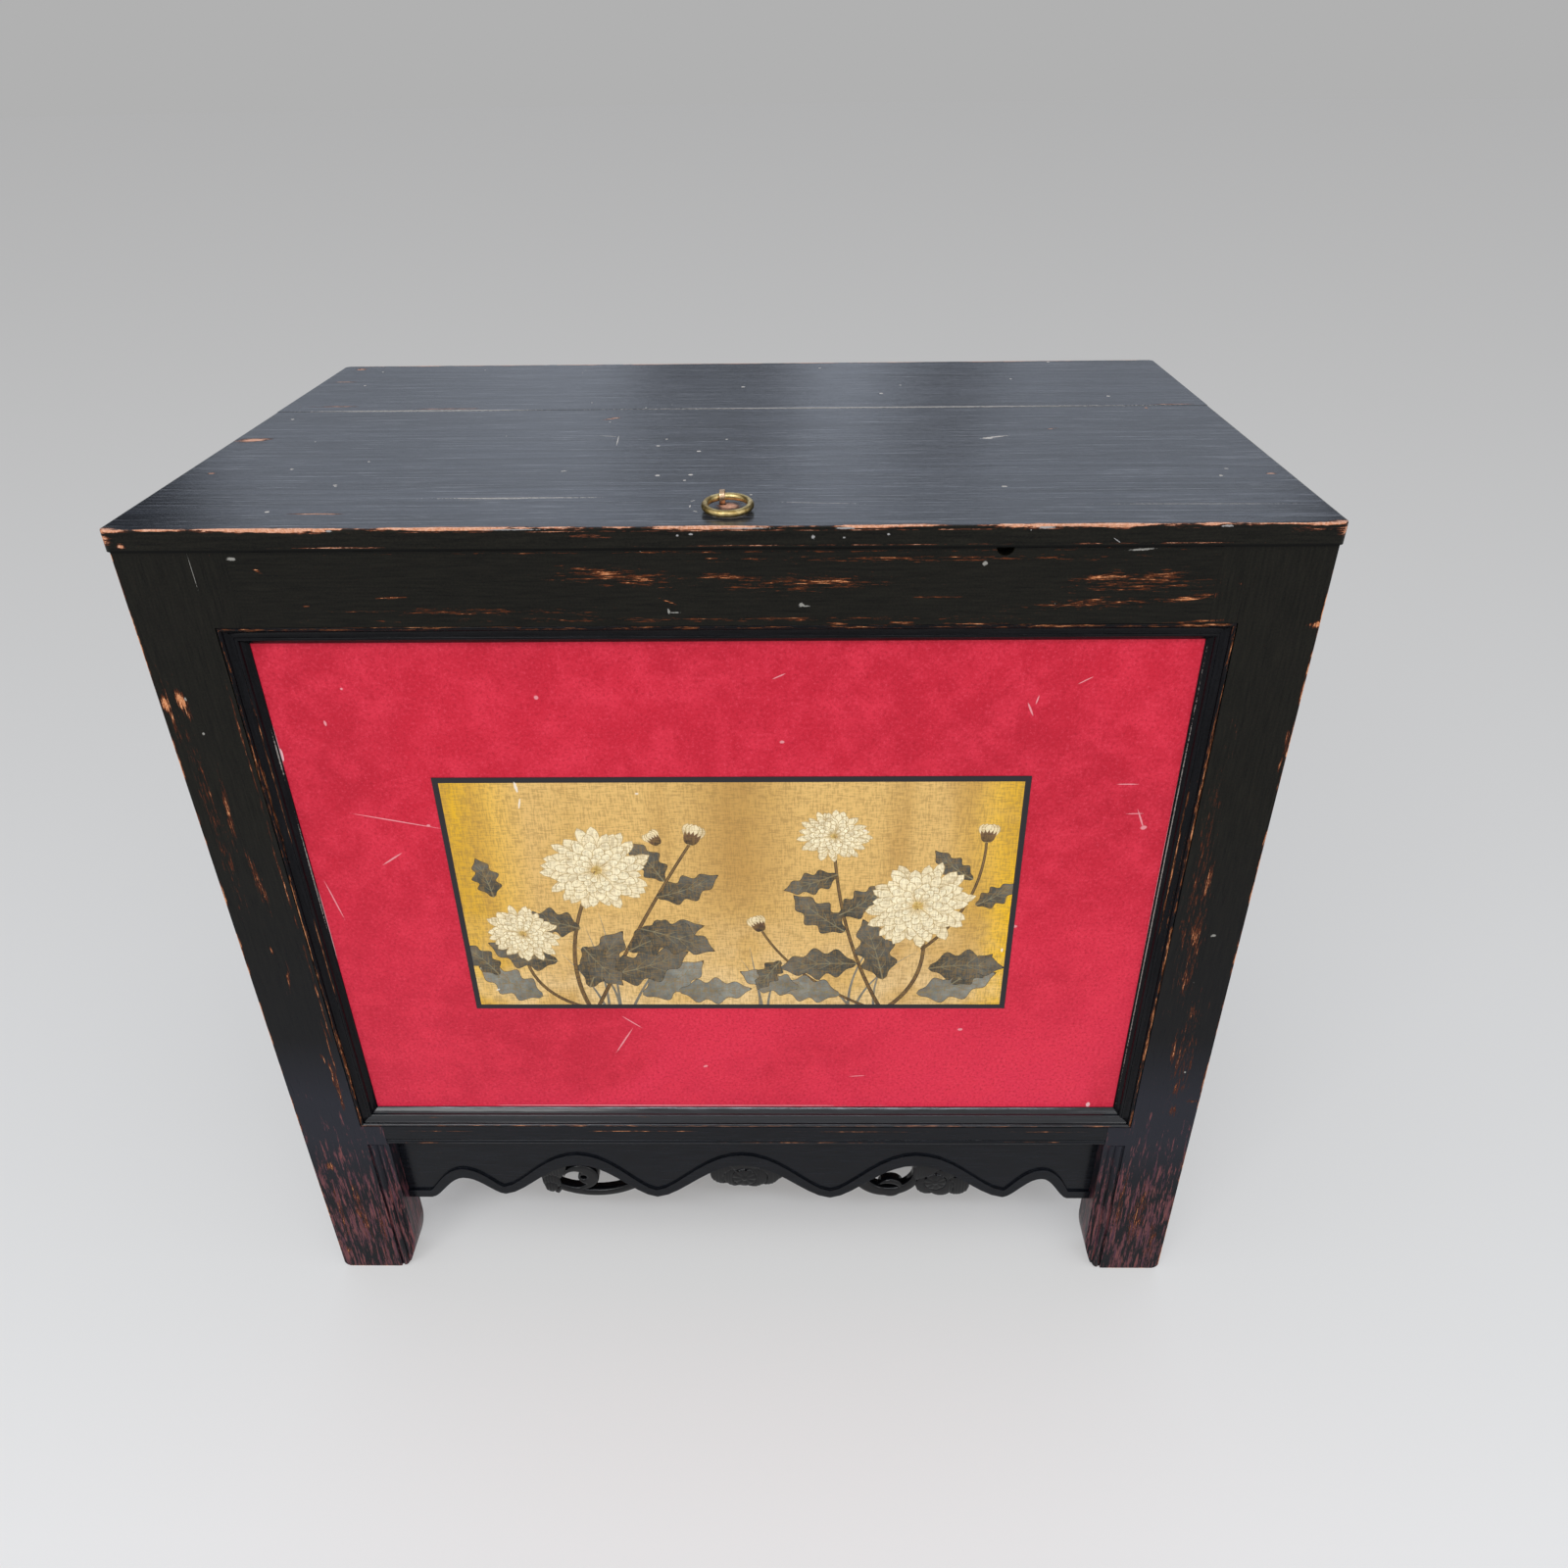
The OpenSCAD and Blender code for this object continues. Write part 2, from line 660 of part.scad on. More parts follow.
module apron_shape() {
    back = apron_recess + apron_t;
    upright(apron_recess + border_t, back) apron_outline();
    upright(apron_recess, apron_recess + border_t + eps)
        polygon(concat(apron_low, reversed(apron_high)));
    block([-inner_x, tongue_y, leg_h - eps], [inner_x, tongue_y + tongue_t, leg_h + tongue_l]);
    for (side = [0, 1]) mirrored_x(side == 1) block(
        [-inner_x - tongue_l, tongue_y, apron_lo + tongue_l + joint_room],
        [-inner_x + eps, tongue_y + tongue_t, leg_h - joint_room]);
}

// Carved piece glued into an arch of the apron, from its outline with the arch's middle at x = 0
module carving(x) upright(carving_y, carving_y + carving_t) difference() {
    translate([x, apron_lo]) scale(carving_scale) children();
    apron_outline();
}

// Recess for a hinge leaf, centred on x = 0
module leaf_recess(z0, z1) block(
    [-hinge_l / 2 - joint_room, case_d - leaf_w - joint_room, z0],
    [hinge_l / 2 + joint_room, case_d + eps, z1]);

// Screws of one leaf, centred on x = 0; up is 1 for the lid and -1 for the case
module screw_set(up, room) for (x = screw_xs)
    translate([x, screw_y, hinge_z + up * leaf_part]) mirror([0, 0, up > 0 ? 0 : 1]) {
        cylinder(
            d1 = screw_head_d + room, d2 = screw_d + room, h = (screw_head_d - screw_d) / 2, $fn = round_fn);
        cylinder(d = screw_d + room, h = screw_l + room, $fn = round_fn);
    }

// One leaf of a hinge with its knuckles, centred on x = 0; first is its first knuckle
module hinge_leaf(up, first) {
    z0 = up > 0 ? hinge_z + leaf_part : hinge_z - leaf_part - leaf_t;
    difference() {
        union() {
            block([-hinge_l / 2, case_d - leaf_w, z0], [hinge_l / 2, case_d, z0 + leaf_t]);
            for (i = [first : 2 : knuckles - 1])
                translate([-hinge_l / 2 + i * (knuckle_l + knuckle_gap), 0, 0]) {
                    block([0, case_d - eps, z0], [knuckle_l, hinge_y, z0 + leaf_t]);
                    translate([0, hinge_y, hinge_z]) rotate([0, 90, 0])
                        cylinder(d = knuckle_d, h = knuckle_l, $fn = round_fn);
                }
        }
        translate([-hinge_l / 2 - eps, hinge_y, hinge_z]) rotate([0, 90, 0])
            cylinder(d = pin_d + 2 * pin_fit, h = hinge_l + 2 * eps, $fn = round_fn);
        screw_set(up, fastener_room);
    }
}

module hinge_pin() translate([-hinge_l / 2, hinge_y, hinge_z]) rotate([0, 90, 0])
    cylinder(d = pin_d, h = hinge_l, $fn = round_fn);

// Plank of the lid, with two rounded corners at the front or the back
module lid_plank(y0, y1, rounded_y) {
    translate([0, 0, lid_z]) linear_extrude(lid_t) {
        inner = rounded_y == y0 ? [y0 + lid_corner, y1] : [y0, y1 - lid_corner];
        translate([-top_w / 2, inner[0]]) square([top_w, inner[1] - inner[0]]);
        translate([-top_w / 2 + lid_corner, y0]) square([top_w - 2 * lid_corner, y1 - y0]);
        for (side = [-1, 1])
            disc_at(
                side * (top_w / 2 - lid_corner),
                rounded_y == y0 ? y0 + lid_corner : y1 - lid_corner,
                lid_corner);
    }
}

module lid_board_front_shape() {
    difference() {
        lid_plank(-overhang, joint_y, -overhang);
        nail_set(fastener_room);
        block(
            [-strap_w / 2 - joint_room, ring_pivot_y - strap_t - joint_room, lid_z - eps],
            [strap_w / 2 + joint_room, ring_pivot_y + strap_t + joint_room, height + eps]);
    }
}

module lid_board_rear_shape() {
    difference() {
        lid_plank(joint_y, case_d, case_d);
        nail_set(fastener_room);
        for (side = [-1, 1]) translate([side * hinge_x, 0, 0]) {
            leaf_recess(lid_z - eps, hinge_z + leaf_part + leaf_t);
            screw_set(1, fastener_room);
        }
    }
}

module lid_batten(side) {
    difference() {
        block(
            [side * lid_batten_x - lid_batten_w / 2, batten_y0, lid_z - lid_batten_t],
            [side * lid_batten_x + lid_batten_w / 2, batten_y1, lid_z]);
        nail_set(fastener_room);
    }
}

// Nails that hold the battens, driven up from below
module nail_set(room) for (side = [-1, 1], y = nail_ys)
    translate([side * lid_batten_x, y, lid_z - lid_batten_t - nail_head_t]) {
        cylinder(d = nail_head_d, h = nail_head_t, $fn = round_fn);
        cylinder(d = nail_d + room, h = nail_head_t + lid_batten_t + nail_bite + room, $fn = round_fn);
    }

// Strap bent round the ring, with both legs through the lid and bent over below
module ring_staple_shape() translate([0, ring_pivot_y, 0]) {
    difference() {
        union() {
            translate([0, 0, ring_pivot_z]) rotate([0, 90, 0])
                cylinder(r = strap_r + strap_t, h = strap_w, center = true, $fn = round_fn);
            block([-strap_w / 2, -strap_t, lid_z - strap_t], [strap_w / 2, strap_t, height + strap_t]);
        }
        translate([0, 0, ring_pivot_z]) rotate([0, 90, 0])
            cylinder(r = strap_r, h = strap_w + 2 * eps, center = true, $fn = round_fn);
    }
    block([-strap_w / 2, -clench_l, lid_z - strap_t], [strap_w / 2, clench_l, lid_z]);
}

module ring_pull_shape() translate([0, ring_pivot_y, ring_pivot_z]) rotate([ring_tilt, 0, 0])
    translate([ring_slide, -ring_reach, 0])
        rotate_extrude($fn = 96) translate([ring_r, 0]) circle(d = ring_bar_d, $fn = round_fn);

module post_front_left() color(BLACK) placed() front_post(false);
module post_front_right() color(BLACK) placed() front_post(true);
module post_rear_left() color(BLACK) placed() rear_post(false);
module post_rear_right() color(BLACK) placed() rear_post(true);
module front_top_rail() color(BLACK) placed() front_top_rail_shape();
module front_bottom_rail() color(BLACK) placed() front_bottom_rail_shape();
module rear_top_rail() color(BLACK) placed() rear_top_rail_shape();
module rear_bottom_rail() color(BLACK) placed() rear_bottom_rail_shape();
module side_top_rail_left() color(BLACK) placed() side_rail(false, side_top_z, rim_z);
module side_top_rail_right() color(BLACK) placed() side_rail(true, side_top_z, rim_z);
module side_bottom_rail_left() color(BLACK) placed() side_rail(false, leg_h, side_bottom_z);
module side_bottom_rail_right() color(BLACK) placed() side_rail(true, leg_h, side_bottom_z);
module rail_pegs() color(WOOD) placed() rail_peg_set(peg_d, 0);
module front_panel() color(RED) placed() front_panel_shape();
module picture_sheet() color("#b8963f") placed() picture_shape();
module moulding_bottom() color(BLACK) placed() moulding(0, 2 * rebate_x);
module moulding_left() color(BLACK) placed() moulding(1, rebate_hi - rebate_lo);
module moulding_top() color(BLACK) placed() moulding(2, 2 * rebate_x);
module moulding_right() color(BLACK) placed() moulding(3, rebate_hi - rebate_lo);
module side_panel_left() color(BLACK) placed() side_panel(false);
module side_panel_right() color(BLACK) placed() side_panel(true);
module back_board_left() color(WOOD) placed() back_board(0);
module back_board_middle() color(WOOD) placed() back_board(1);
module back_board_right() color(WOOD) placed() back_board(2);
module floor_batten_left() color(WOOD) placed() floor_batten(-1);
module floor_batten_right() color(WOOD) placed() floor_batten(1);
module floor_board_front() color(WOOD) placed() floor_board(0);
module floor_board_middle() color(WOOD) placed() floor_board(1);
module floor_board_rear() color(WOOD) placed() floor_board(2);
module apron() color(BLACK) placed() apron_shape();
module carving_left() color(BLACK) placed() carving(-arch_x) carved_scroll();
module carving_middle() color(BLACK) placed() carving(0) carved_flower();
module carving_right() color(BLACK) placed() carving(arch_x) carved_leaf();
module hinge_case_leaf_left() color(BRASS) placed() translate([-hinge_x, 0, 0]) hinge_leaf(-1, 0);
module hinge_case_leaf_right() color(BRASS) placed() translate([hinge_x, 0, 0]) hinge_leaf(-1, 0);
module hinge_lid_leaf_left() color(BRASS) placed() translate([-hinge_x, 0, 0]) hinge_leaf(1, 1);
module hinge_lid_leaf_right() color(BRASS) placed() translate([hinge_x, 0, 0]) hinge_leaf(1, 1);
module hinge_pin_left() color(BRASS) placed() translate([-hinge_x, 0, 0]) hinge_pin();
module hinge_pin_right() color(BRASS) placed() translate([hinge_x, 0, 0]) hinge_pin();
module hinge_case_screws() color(BRASS) placed() for (side = [-1, 1])
    translate([side * hinge_x, 0, 0]) screw_set(-1, 0);
module hinge_lid_screws() color(BRASS) placed() for (side = [-1, 1])
    translate([side * hinge_x, 0, 0]) screw_set(1, 0);
module lid_board_front() color(BLACK) placed() lid_board_front_shape();
module lid_board_rear() color(BLACK) placed() lid_board_rear_shape();
module lid_batten_left() color(WOOD) placed() lid_batten(-1);
module lid_batten_right() color(WOOD) placed() lid_batten(1);
module lid_nails() color(IRON) placed() nail_set(0);
module ring_staple() color(BRASS) placed() ring_staple_shape();
module ring_pull() color(BRASS) placed() ring_pull_shape();

post_front_left();
post_front_right();
post_rear_left();
post_rear_right();
front_top_rail();
front_bottom_rail();
rear_top_rail();
rear_bottom_rail();
side_top_rail_left();
side_top_rail_right();
side_bottom_rail_left();
side_bottom_rail_right();
rail_pegs();
front_panel();
picture_sheet();
moulding_top();
moulding_bottom();
moulding_left();
moulding_right();
side_panel_left();
side_panel_right();
back_board_left();
back_board_middle();
back_board_right();
floor_batten_left();
floor_batten_right();
floor_board_front();
floor_board_middle();
floor_board_rear();
apron();
carving_left();
carving_middle();
carving_right();
hinge_case_leaf_left();
hinge_case_leaf_right();
hinge_pin_left();
hinge_pin_right();
hinge_case_screws();
lid_board_front();
lid_board_rear();
lid_batten_left();
lid_batten_right();
lid_nails();
hinge_lid_leaf_left();
hinge_lid_leaf_right();
hinge_lid_screws();
ring_staple();
ring_pull();
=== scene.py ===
"""Lacquered storage chest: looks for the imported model. All positions are in millimetres measured from the
middle of the chest, the front face of the posts and the floor, and at() turns them into the frame."""
import math
import random

import bmesh
import bpy
import numpy as np
from mathutils import Matrix, Vector
from mathutils.geometry import delaunay_2d_cdt


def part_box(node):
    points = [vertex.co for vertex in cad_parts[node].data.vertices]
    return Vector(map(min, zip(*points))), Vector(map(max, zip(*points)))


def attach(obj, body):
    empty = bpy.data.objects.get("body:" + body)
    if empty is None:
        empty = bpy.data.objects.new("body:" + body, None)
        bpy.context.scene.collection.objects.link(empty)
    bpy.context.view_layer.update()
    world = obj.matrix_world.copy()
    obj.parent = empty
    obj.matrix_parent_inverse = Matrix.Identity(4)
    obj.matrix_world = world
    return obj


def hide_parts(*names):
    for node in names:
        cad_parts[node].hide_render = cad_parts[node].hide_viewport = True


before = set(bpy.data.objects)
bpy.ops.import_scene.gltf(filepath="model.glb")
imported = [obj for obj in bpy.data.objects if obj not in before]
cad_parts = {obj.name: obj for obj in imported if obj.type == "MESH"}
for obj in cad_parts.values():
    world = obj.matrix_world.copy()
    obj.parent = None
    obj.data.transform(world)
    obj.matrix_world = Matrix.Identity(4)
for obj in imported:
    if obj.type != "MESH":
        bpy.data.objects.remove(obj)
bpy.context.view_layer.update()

MM = 0.001
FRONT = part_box("post_front_left")[0].y  # the plane of the posts' front faces, in metres
LID_TOP = 900
THROUGH_FRONT, THROUGH_TOP = 7, 5  # how far a mark reaches into an upright face and into the lid's top
scene = bpy.context.scene


def at(x, y, z):
    """A point of the chest in metres, from millimetres: x from the middle, y back from the front, z up."""
    return Vector((x * MM, FRONT + y * MM, z * MM))


def linear(code):
    """An sRGB hex colour as linear RGBA."""
    parts = [int(code[i:i + 2], 16) / 255 for i in (1, 3, 5)]
    return tuple(p / 12.92 if p <= 0.04045 else ((p + 0.055) / 1.055) ** 2.4 for p in parts) + (1.0,)


def add(tree, kind, links=None, **settings):
    """Adds a node with its settings. Each input takes a node, a socket or a value."""
    family = "GeometryNode" if tree.type == "GEOMETRY" else "ShaderNode"
    node = tree.nodes.new(kind if "Node" in kind else family + kind)
    for name, value in settings.items():
        setattr(node, name, value)
    for key, value in (links or {}).items():
        if isinstance(value, bpy.types.Node):
            value = value.outputs[0]
        if isinstance(value, bpy.types.NodeSocket):
            tree.links.new(value, node.inputs[key])
        else:
            node.inputs[key].default_value = value
    return node


def new_finish(name):
    """A material with a Principled shader. Returns the material, its tree, the shader, and the place of a
    point in the chest's millimetres."""
    material = bpy.data.materials.new(name)
    material.use_nodes = True
    tree = material.node_tree
    tree.nodes.clear()
    shader = add(tree, "BsdfPrincipled")
    add(tree, "OutputMaterial", {"Surface": shader})
    here = add(tree, "TexCoord").outputs["Object"]
    place = add(
        tree, "VectorMath", {0: here, 1: (1000, 1000, 1000), 2: (0, -FRONT / MM, 0)},
        operation="MULTIPLY_ADD")
    return material, tree, shader, place


def finish(tree, shader, colour, rough, height, depth=1.0, specular=0.5):
    """Gives the shader its colour, its roughness, its specular level and a bump of a depth in millimetres."""
    bump = add(tree, "Bump", {"Height": height, "Distance": depth * MM, "Strength": 1.0})
    shader.inputs["Specular IOR Level"].default_value = specular
    for name, source in (("Base Color", colour), ("Roughness", rough), ("Normal", bump)):
        tree.links.new(source.outputs[0], shader.inputs[name])


def drawn_out(tree, place, along, stretch, size, detail, rough, swirl=0.0):
    """A pattern of a size in millimetres, drawn out along one axis as brush marks and wood grain are."""
    scale = [1 / stretch if axis == along else 1.0 for axis in "XYZ"]
    return add(tree, "TexNoise", {
        "Vector": add(tree, "Mapping", {0: place, 3: scale}), "Scale": 1 / size, "Detail": detail,
        "Roughness": rough, "Distortion": swirl})


def layers(tree, colour, *rows):
    """Lays colours over a colour. Each row is a pattern, its values where the layer starts and where it is
    full, how far a full layer covers, and the layer's colour."""
    for pattern, start, full, cover, tone in rows:
        share = add(tree, "MapRange", {0: pattern, 1: start, 2: full, 4: cover})
        colour = add(tree, "MixRGB", {0: share, 1: colour, 2: linear(tone)})
    return colour


def nearest_mark(tree, place, front=(), top=()):
    """Distance to the nearest elliptical mark: 0 in its middle, 1 on its rim. Marks on an upright face are
    (x, z, half length, half width, turn) or have a depth y at the end; marks on top are (x, y, ...)."""
    spots = []
    for x, z, long, wide, turn, *y in front:
        centre = (x, y[0] if y else 0, z)
        spots.append((centre, (long, THROUGH_FRONT, wide), "Y_AXIS", math.radians(turn)))
    for x, y, long, wide, turn in top:
        spots.append(((x, y, LID_TOP), (long, wide, THROUGH_TOP), "Z_AXIS", -math.radians(turn)))
    nearest = None
    for centre, reach, axis, turn in spots:
        local = place
        if turn:
            local = add(tree, "VectorRotate", {"Vector": place, "Center": centre, "Angle": turn},
                        rotation_type=axis)
        shrink = [1 / r for r in reach]
        inside = add(tree, "VectorMath", {0: local, 1: shrink, 2: [-c * s for c, s in zip(centre, shrink)]},
                     operation="MULTIPLY_ADD")
        far = add(tree, "VectorMath", {0: inside}, operation="LENGTH").outputs["Value"]
        nearest = far if nearest is None else add(tree, "Math", {0: nearest, 1: far}, operation="MINIMUM")
    return nearest


def edge_distance(tree):
    """Millimetres from a point of a squared piece to its nearest arris, from its low and high attributes."""
    low = add(tree, "Attribute", attribute_name="low").outputs["Vector"]
    high = add(tree, "Attribute", attribute_name="high").outputs["Vector"]
    near = add(tree, "VectorMath", {0: low, 1: high}, operation="MINIMUM")
    x, y, z = add(tree, "SeparateXYZ", {0: near}).outputs
    less = add(tree, "Math", {0: x, 1: y}, operation="MINIMUM")
    more = add(tree, "Math", {0: x, 1: y}, operation="MAXIMUM")
    more = add(tree, "Math", {0: more, 1: z}, operation="MINIMUM")
    return add(tree, "Math", {0: less, 1: more}, operation="MAXIMUM")


def box_distance(tree, place, middle, half):
    """How far out a point lies in a box, from its middle and half its size: 0 in the middle, 1 on a side."""
    local = add(tree, "Mapping", {0: place, 1: middle, 3: half}, vector_type="TEXTURE")
    local = add(tree, "VectorMath", {0: local}, operation="ABSOLUTE")
    x, y, z = add(tree, "SeparateXYZ", {0: local}).outputs
    most = add(tree, "Math", {0: x, 1: y}, operation="MAXIMUM")
    return add(tree, "Math", {0: most, 1: z}, operation="MAXIMUM")


def inside_mask(tree, place, bare_to):
    """1 on the faces that look into the case and were never lacquered, up to bare_to from its middle."""
    front, rear, floor, ceiling = 37.8, 539.2, 207, 882.2
    low, high = Vector((-bare_to, front, floor)), Vector((bare_to, rear, ceiling))
    out = box_distance(tree, place, (low + high) / 2, (high - low) / 2)
    return add(tree, "Math", {0: out, 1: 1.0}, operation="LESS_THAN")


# Marks on the front, in millimetres: half length, half width and turn follow x and z, and a depth may follow
RUBS = [
    (-66, 857, 26, 5, -8), (-90, 862, 34, 5, -6), (5, 858, 42, 4, -3), (-8, 873, 10, 1.4, 0),
    (80, 853, 40, 3.5, 2), (170, 840, 44, 1.2, 1), (300, 856, 36, 6, 3), (345, 856, 30, 6, 0),
    (285, 835, 32, 2.6, 10), (370, 838, 34, 4, 8), (240, 831, 8, 1.5, 0), (-260, 842, 22, 1.2, 2),
    (-333, 835, 6, 1.6, 10), (-365, 865, 6, 2, -30), (-42, 837, 12, 1, -22), (-109, 826, 14, 0.8, -6),
    (90, 818, 14, 2, -8), (141, 818, 22, 1.6, 0), (210, 817, 40, 1.6, -1), (378, 818, 36, 1.6, 3),
    (-470, 740, 3, 50, 0), (-456, 745, 6, 20, 0), (-448, 640, 4, 60, -4), (-440, 560, 5, 50, 4),
    (-448, 480, 2, 8, 10), (-440, 445, 2.4, 26, -8), (-430, 337, 3, 14, 10), (-424, 300, 5, 60, 0),
    (-458, 173, 8, 12, 0), (407, 850, 3, 2, 0), (470, 815, 8, 2.2, 12), (474, 700, 2.5, 40, 0),
    (434, 560, 5, 46, -4), (434, 500, 8, 40, 4), (434, 440, 7, 30, 0), (438, 350, 4, 30, 3),
    (452, 262, 6, 16, 4), (470, 276, 8, 4, 0), (448, 400, 4, 18, 0)]
HAZE = [
    (-80, 858, 90, 14, -4), (70, 852, 110, 12, 1), (330, 852, 90, 16, 2), (300, 834, 110, 7, 3),
    (-200, 830, 160, 5, 0), (0, 822, 400, 3, 0), (160, 872, 260, 4, 0), (0, 878.4, 480, 1.4, 0),
    (-462, 640, 10, 180, 0), (425, 560, 12, 220, 0), (436, 480, 12, 120, 0),
    (450, 340, 20, 120, 0)]
LEG_RUBS = [
    (-440, 100, 10, 110, 2), (-462, 90, 6, 90, 0), (-420, 60, 8, 80, -3), (440, 90, 14, 95, -2),
    (462, 50, 10, 60, 0), (418, 110, 6, 90, 0), (-468, 30, 5, 14, 0), (468, 12, 8, 8, 0)]
LEFT_EDGE_LINES = [(-416, 690, 1.3, 120, 0), (-417, 560, 1.3, 90, 1), (-416, 420, 1.2, 120, 0),
                   (-420, 350, 1.6, 60, 0)]
MOULDING_STREAKS = [
    (-412, 690, 1.6, 120, 0), (-401, 680, 1.6, 110, 0, 4), (-411, 500, 1.8, 130, 0),
    (-401, 470, 1.4, 90, 0, 4), (411, 640, 3.0, 170, 0), (411.6, 470, 2.6, 60, 0),
    (401.6, 575, 2.0, 120, 0, 4), (410, 360, 2.2, 90, 0),
    (-409, 330, 1.8, 80, 0), (-408, 640, 0.8, 90, 0), (407, 560, 0.8, 130, 0)]
BEAD_WEAR = [
    (-108, 247, 14, 3, 0), (-330, 245, 50, 1.6, 0), (-240, 245.5, 36, 1.4, 0), (-190, 245, 24, 1.2, 0),
    (40, 246, 16, 1.2, 0), (150, 236.6, 200, 0.9, 0), (-40, 236.6, 120, 0.9, 0), (-350, 236.4, 30, 0.9, 0)]
LOWER_WEAR = [
    (-330, 229, 60, 1.0, 0), (-120, 229.5, 110, 0.8, 0), (120, 229, 120, 0.9, 0), (320, 229, 70, 0.9, 0),
    (-340, 211, 40, 1.0, 0), (60, 212, 140, 0.7, 0), (300, 213, 60, 0.8, 0), (110, 152, 13, 4, -6)]
# Pale chips on the mouldings; the long pale line down the right moulding's inner lip is a painted highlight
MOULDING_CHIPS_AND_HIGHLIGHT = [(394.6, 525, 0.5, 280, 0, 8), (-394.2, 690, 0.6, 26, 0, 8), (-393.8, 560, 0.5, 80, 0, 8)]
PALE_CHIPS = [
    (-383, 875, 4.2, 1.8, 0), (-43, 829, 1.2, 2.6, 15), (63, 834, 2.6, 2.2, 0), (206, 868, 2.4, 2.2, 20),
    (326, 878.5, 12, 1.1, 3), (-448, 719, 1.4, 1.6, 0), (451, 497, 3.2, 2.0, 0), (-454, 752, 1.2, 2.2, 0),
    (455, 318, 1.4, 1.6, 0), (-38, 828, 5, 0.6, 0), (66, 833, 5, 0.7, 0)]
THIN_SCRATCHES = [(-416.6, 865, 0.3, 17, 1)]
EDGE_LOSSES = [(475, 815, 7, 4.5, 10), (-472, 748, 5, 12, 0), (-458, 750, 7, 14, 10)]


def black_lacquer(
        name, along, wear=(), chips=(), top_chips=(), edge=(0.72, 2.4), specular=0.12, gloss=0.34,
        spread=0.07, under="#54280F", bare="#BE6A34", fresh="#E3A679", chip="#918F88", dark="#040403",
        light="#211F18", raised=None, scuffs_and_sheen=0.0, streaks=0.0, brush=0.06, swell=1.2, dust=0.02, seam_shade=None,
        legs=False, bare_to=447.2):
    """Rubbed black lacquer over a red-brown ground: a near-black brushed film with a soft sheen, which wear
    takes back to the ground and then to bare orange wood on the arrises, in streaks along the grain. Wear is
    a list of (marks on the front, marks on top, strength). Edge is how worn an arris is, and over what width.
    Raised is the depth of the proudest parts, the depth where their wear ends, and its strength. Seam shade
    is the height and half the width of a black band painted along the seam under the lid as its shadow.
    Brush and swell are the bump's depths, in millimetres."""
    material, tree, shader, place = new_finish(name)
    # Grain 2 mm across, dashes 1 mm across, breaks every few centimetres, clouds of 15 cm, grit under 2 mm
    fine = drawn_out(tree, place, along, 16, 2.2, 5.0, 0.68)
    dash = drawn_out(tree, place, along, 14, 1.2, 4.0, 0.8, 0.25)
    stretch = drawn_out(tree, place, along, 4, 14, 4.0, 0.65)
    broad = add(tree, "TexNoise", {"Vector": place, "Scale": 1 / 150, "Detail": 3.0, "Distortion": 0.4})
    grit = add(tree, "TexNoise", {"Vector": place, "Scale": 1 / 1.7, "Detail": 3.0, "Roughness": 0.75})
    _, depth, up = add(tree, "SeparateXYZ", {0: place}).outputs

    # How much is worn: the arrises, then the rubbed marks, both broken up by the grain
    reach = add(tree, "MapRange", {0: stretch, 1: 0.36, 2: 0.66, 3: 0.3 * edge[1], 4: 1.8 * edge[1]})
    arris = add(tree, "MapRange", {0: edge_distance(tree), 1: 0.0, 2: reach, 3: edge[0], 4: 0.0})
    broken = add(tree, "MapRange", {0: stretch, 1: 0.4, 2: 0.56, 3: 0.55, 4: 1.08})
    amount = add(tree, "Math", {0: arris, 1: broken}, operation="MULTIPLY")
    for front, top, strength in wear:
        near = nearest_mark(tree, place, front, top)
        soft = add(tree, "MapRange", {0: near, 1: 1.2, 2: 0.3, 4: strength})
        amount = add(tree, "Math", {0: amount, 1: soft}, operation="MAXIMUM")
    if raised:
        proud = add(tree, "MapRange", {0: depth, 1: raised[0], 2: raised[1], 3: raised[2], 4: 0.0})
        proud = add(tree, "Math", {0: proud, 1: broken}, operation="MULTIPLY")
        amount = add(tree, "Math", {0: amount, 1: proud}, operation="MAXIMUM")
    if streaks:
        patch = add(tree, "Math", {0: stretch, 1: broad}, operation="ADD")
        patch = add(tree, "MapRange", {0: patch, 1: 0.96, 2: 1.25, 4: streaks})
        amount = add(tree, "Math", {0: amount, 1: patch}, operation="MAXIMUM")
    ragged = add(tree, "MapRange", {0: fine, 1: 0.34, 2: 0.68, 3: 0.0, 4: 0.42})
    ragged = add(tree, "Math", {0: add(tree, "MapRange", {0: dash, 1: 0.34, 2: 0.68, 4: 0.58}), 1: ragged})
    level = add(tree, "Math", {0: amount, 1: ragged}, operation="ADD")
    rubbed = add(tree, "MapRange", {0: level, 1: 0.96, 2: 1.06}, interpolation_type="SMOOTHSTEP")
    opened = add(tree, "MapRange", {0: level, 1: 1.18, 2: 1.25}, interpolation_type="SMOOTHSTEP")

    film = add(tree, "Math", {0: grit, 1: 0.45}, operation="MULTIPLY")
    film = add(tree, "Math", {0: fine, 1: 0.55, 2: film}, operation="MULTIPLY_ADD")
    film = add(tree, "MapRange", {0: film, 1: 0.4, 2: 0.64})
    cloud = add(tree, "Math", {0: broad, 1: 0.3}, operation="MULTIPLY")
    film = add(tree, "Math", {0: film, 1: 0.62, 2: cloud}, operation="MULTIPLY_ADD")
    colour = add(tree, "MixRGB", {0: film, 1: linear(dark), 2: linear(light)})
    lines = 0.0
    if scuffs_and_sheen:
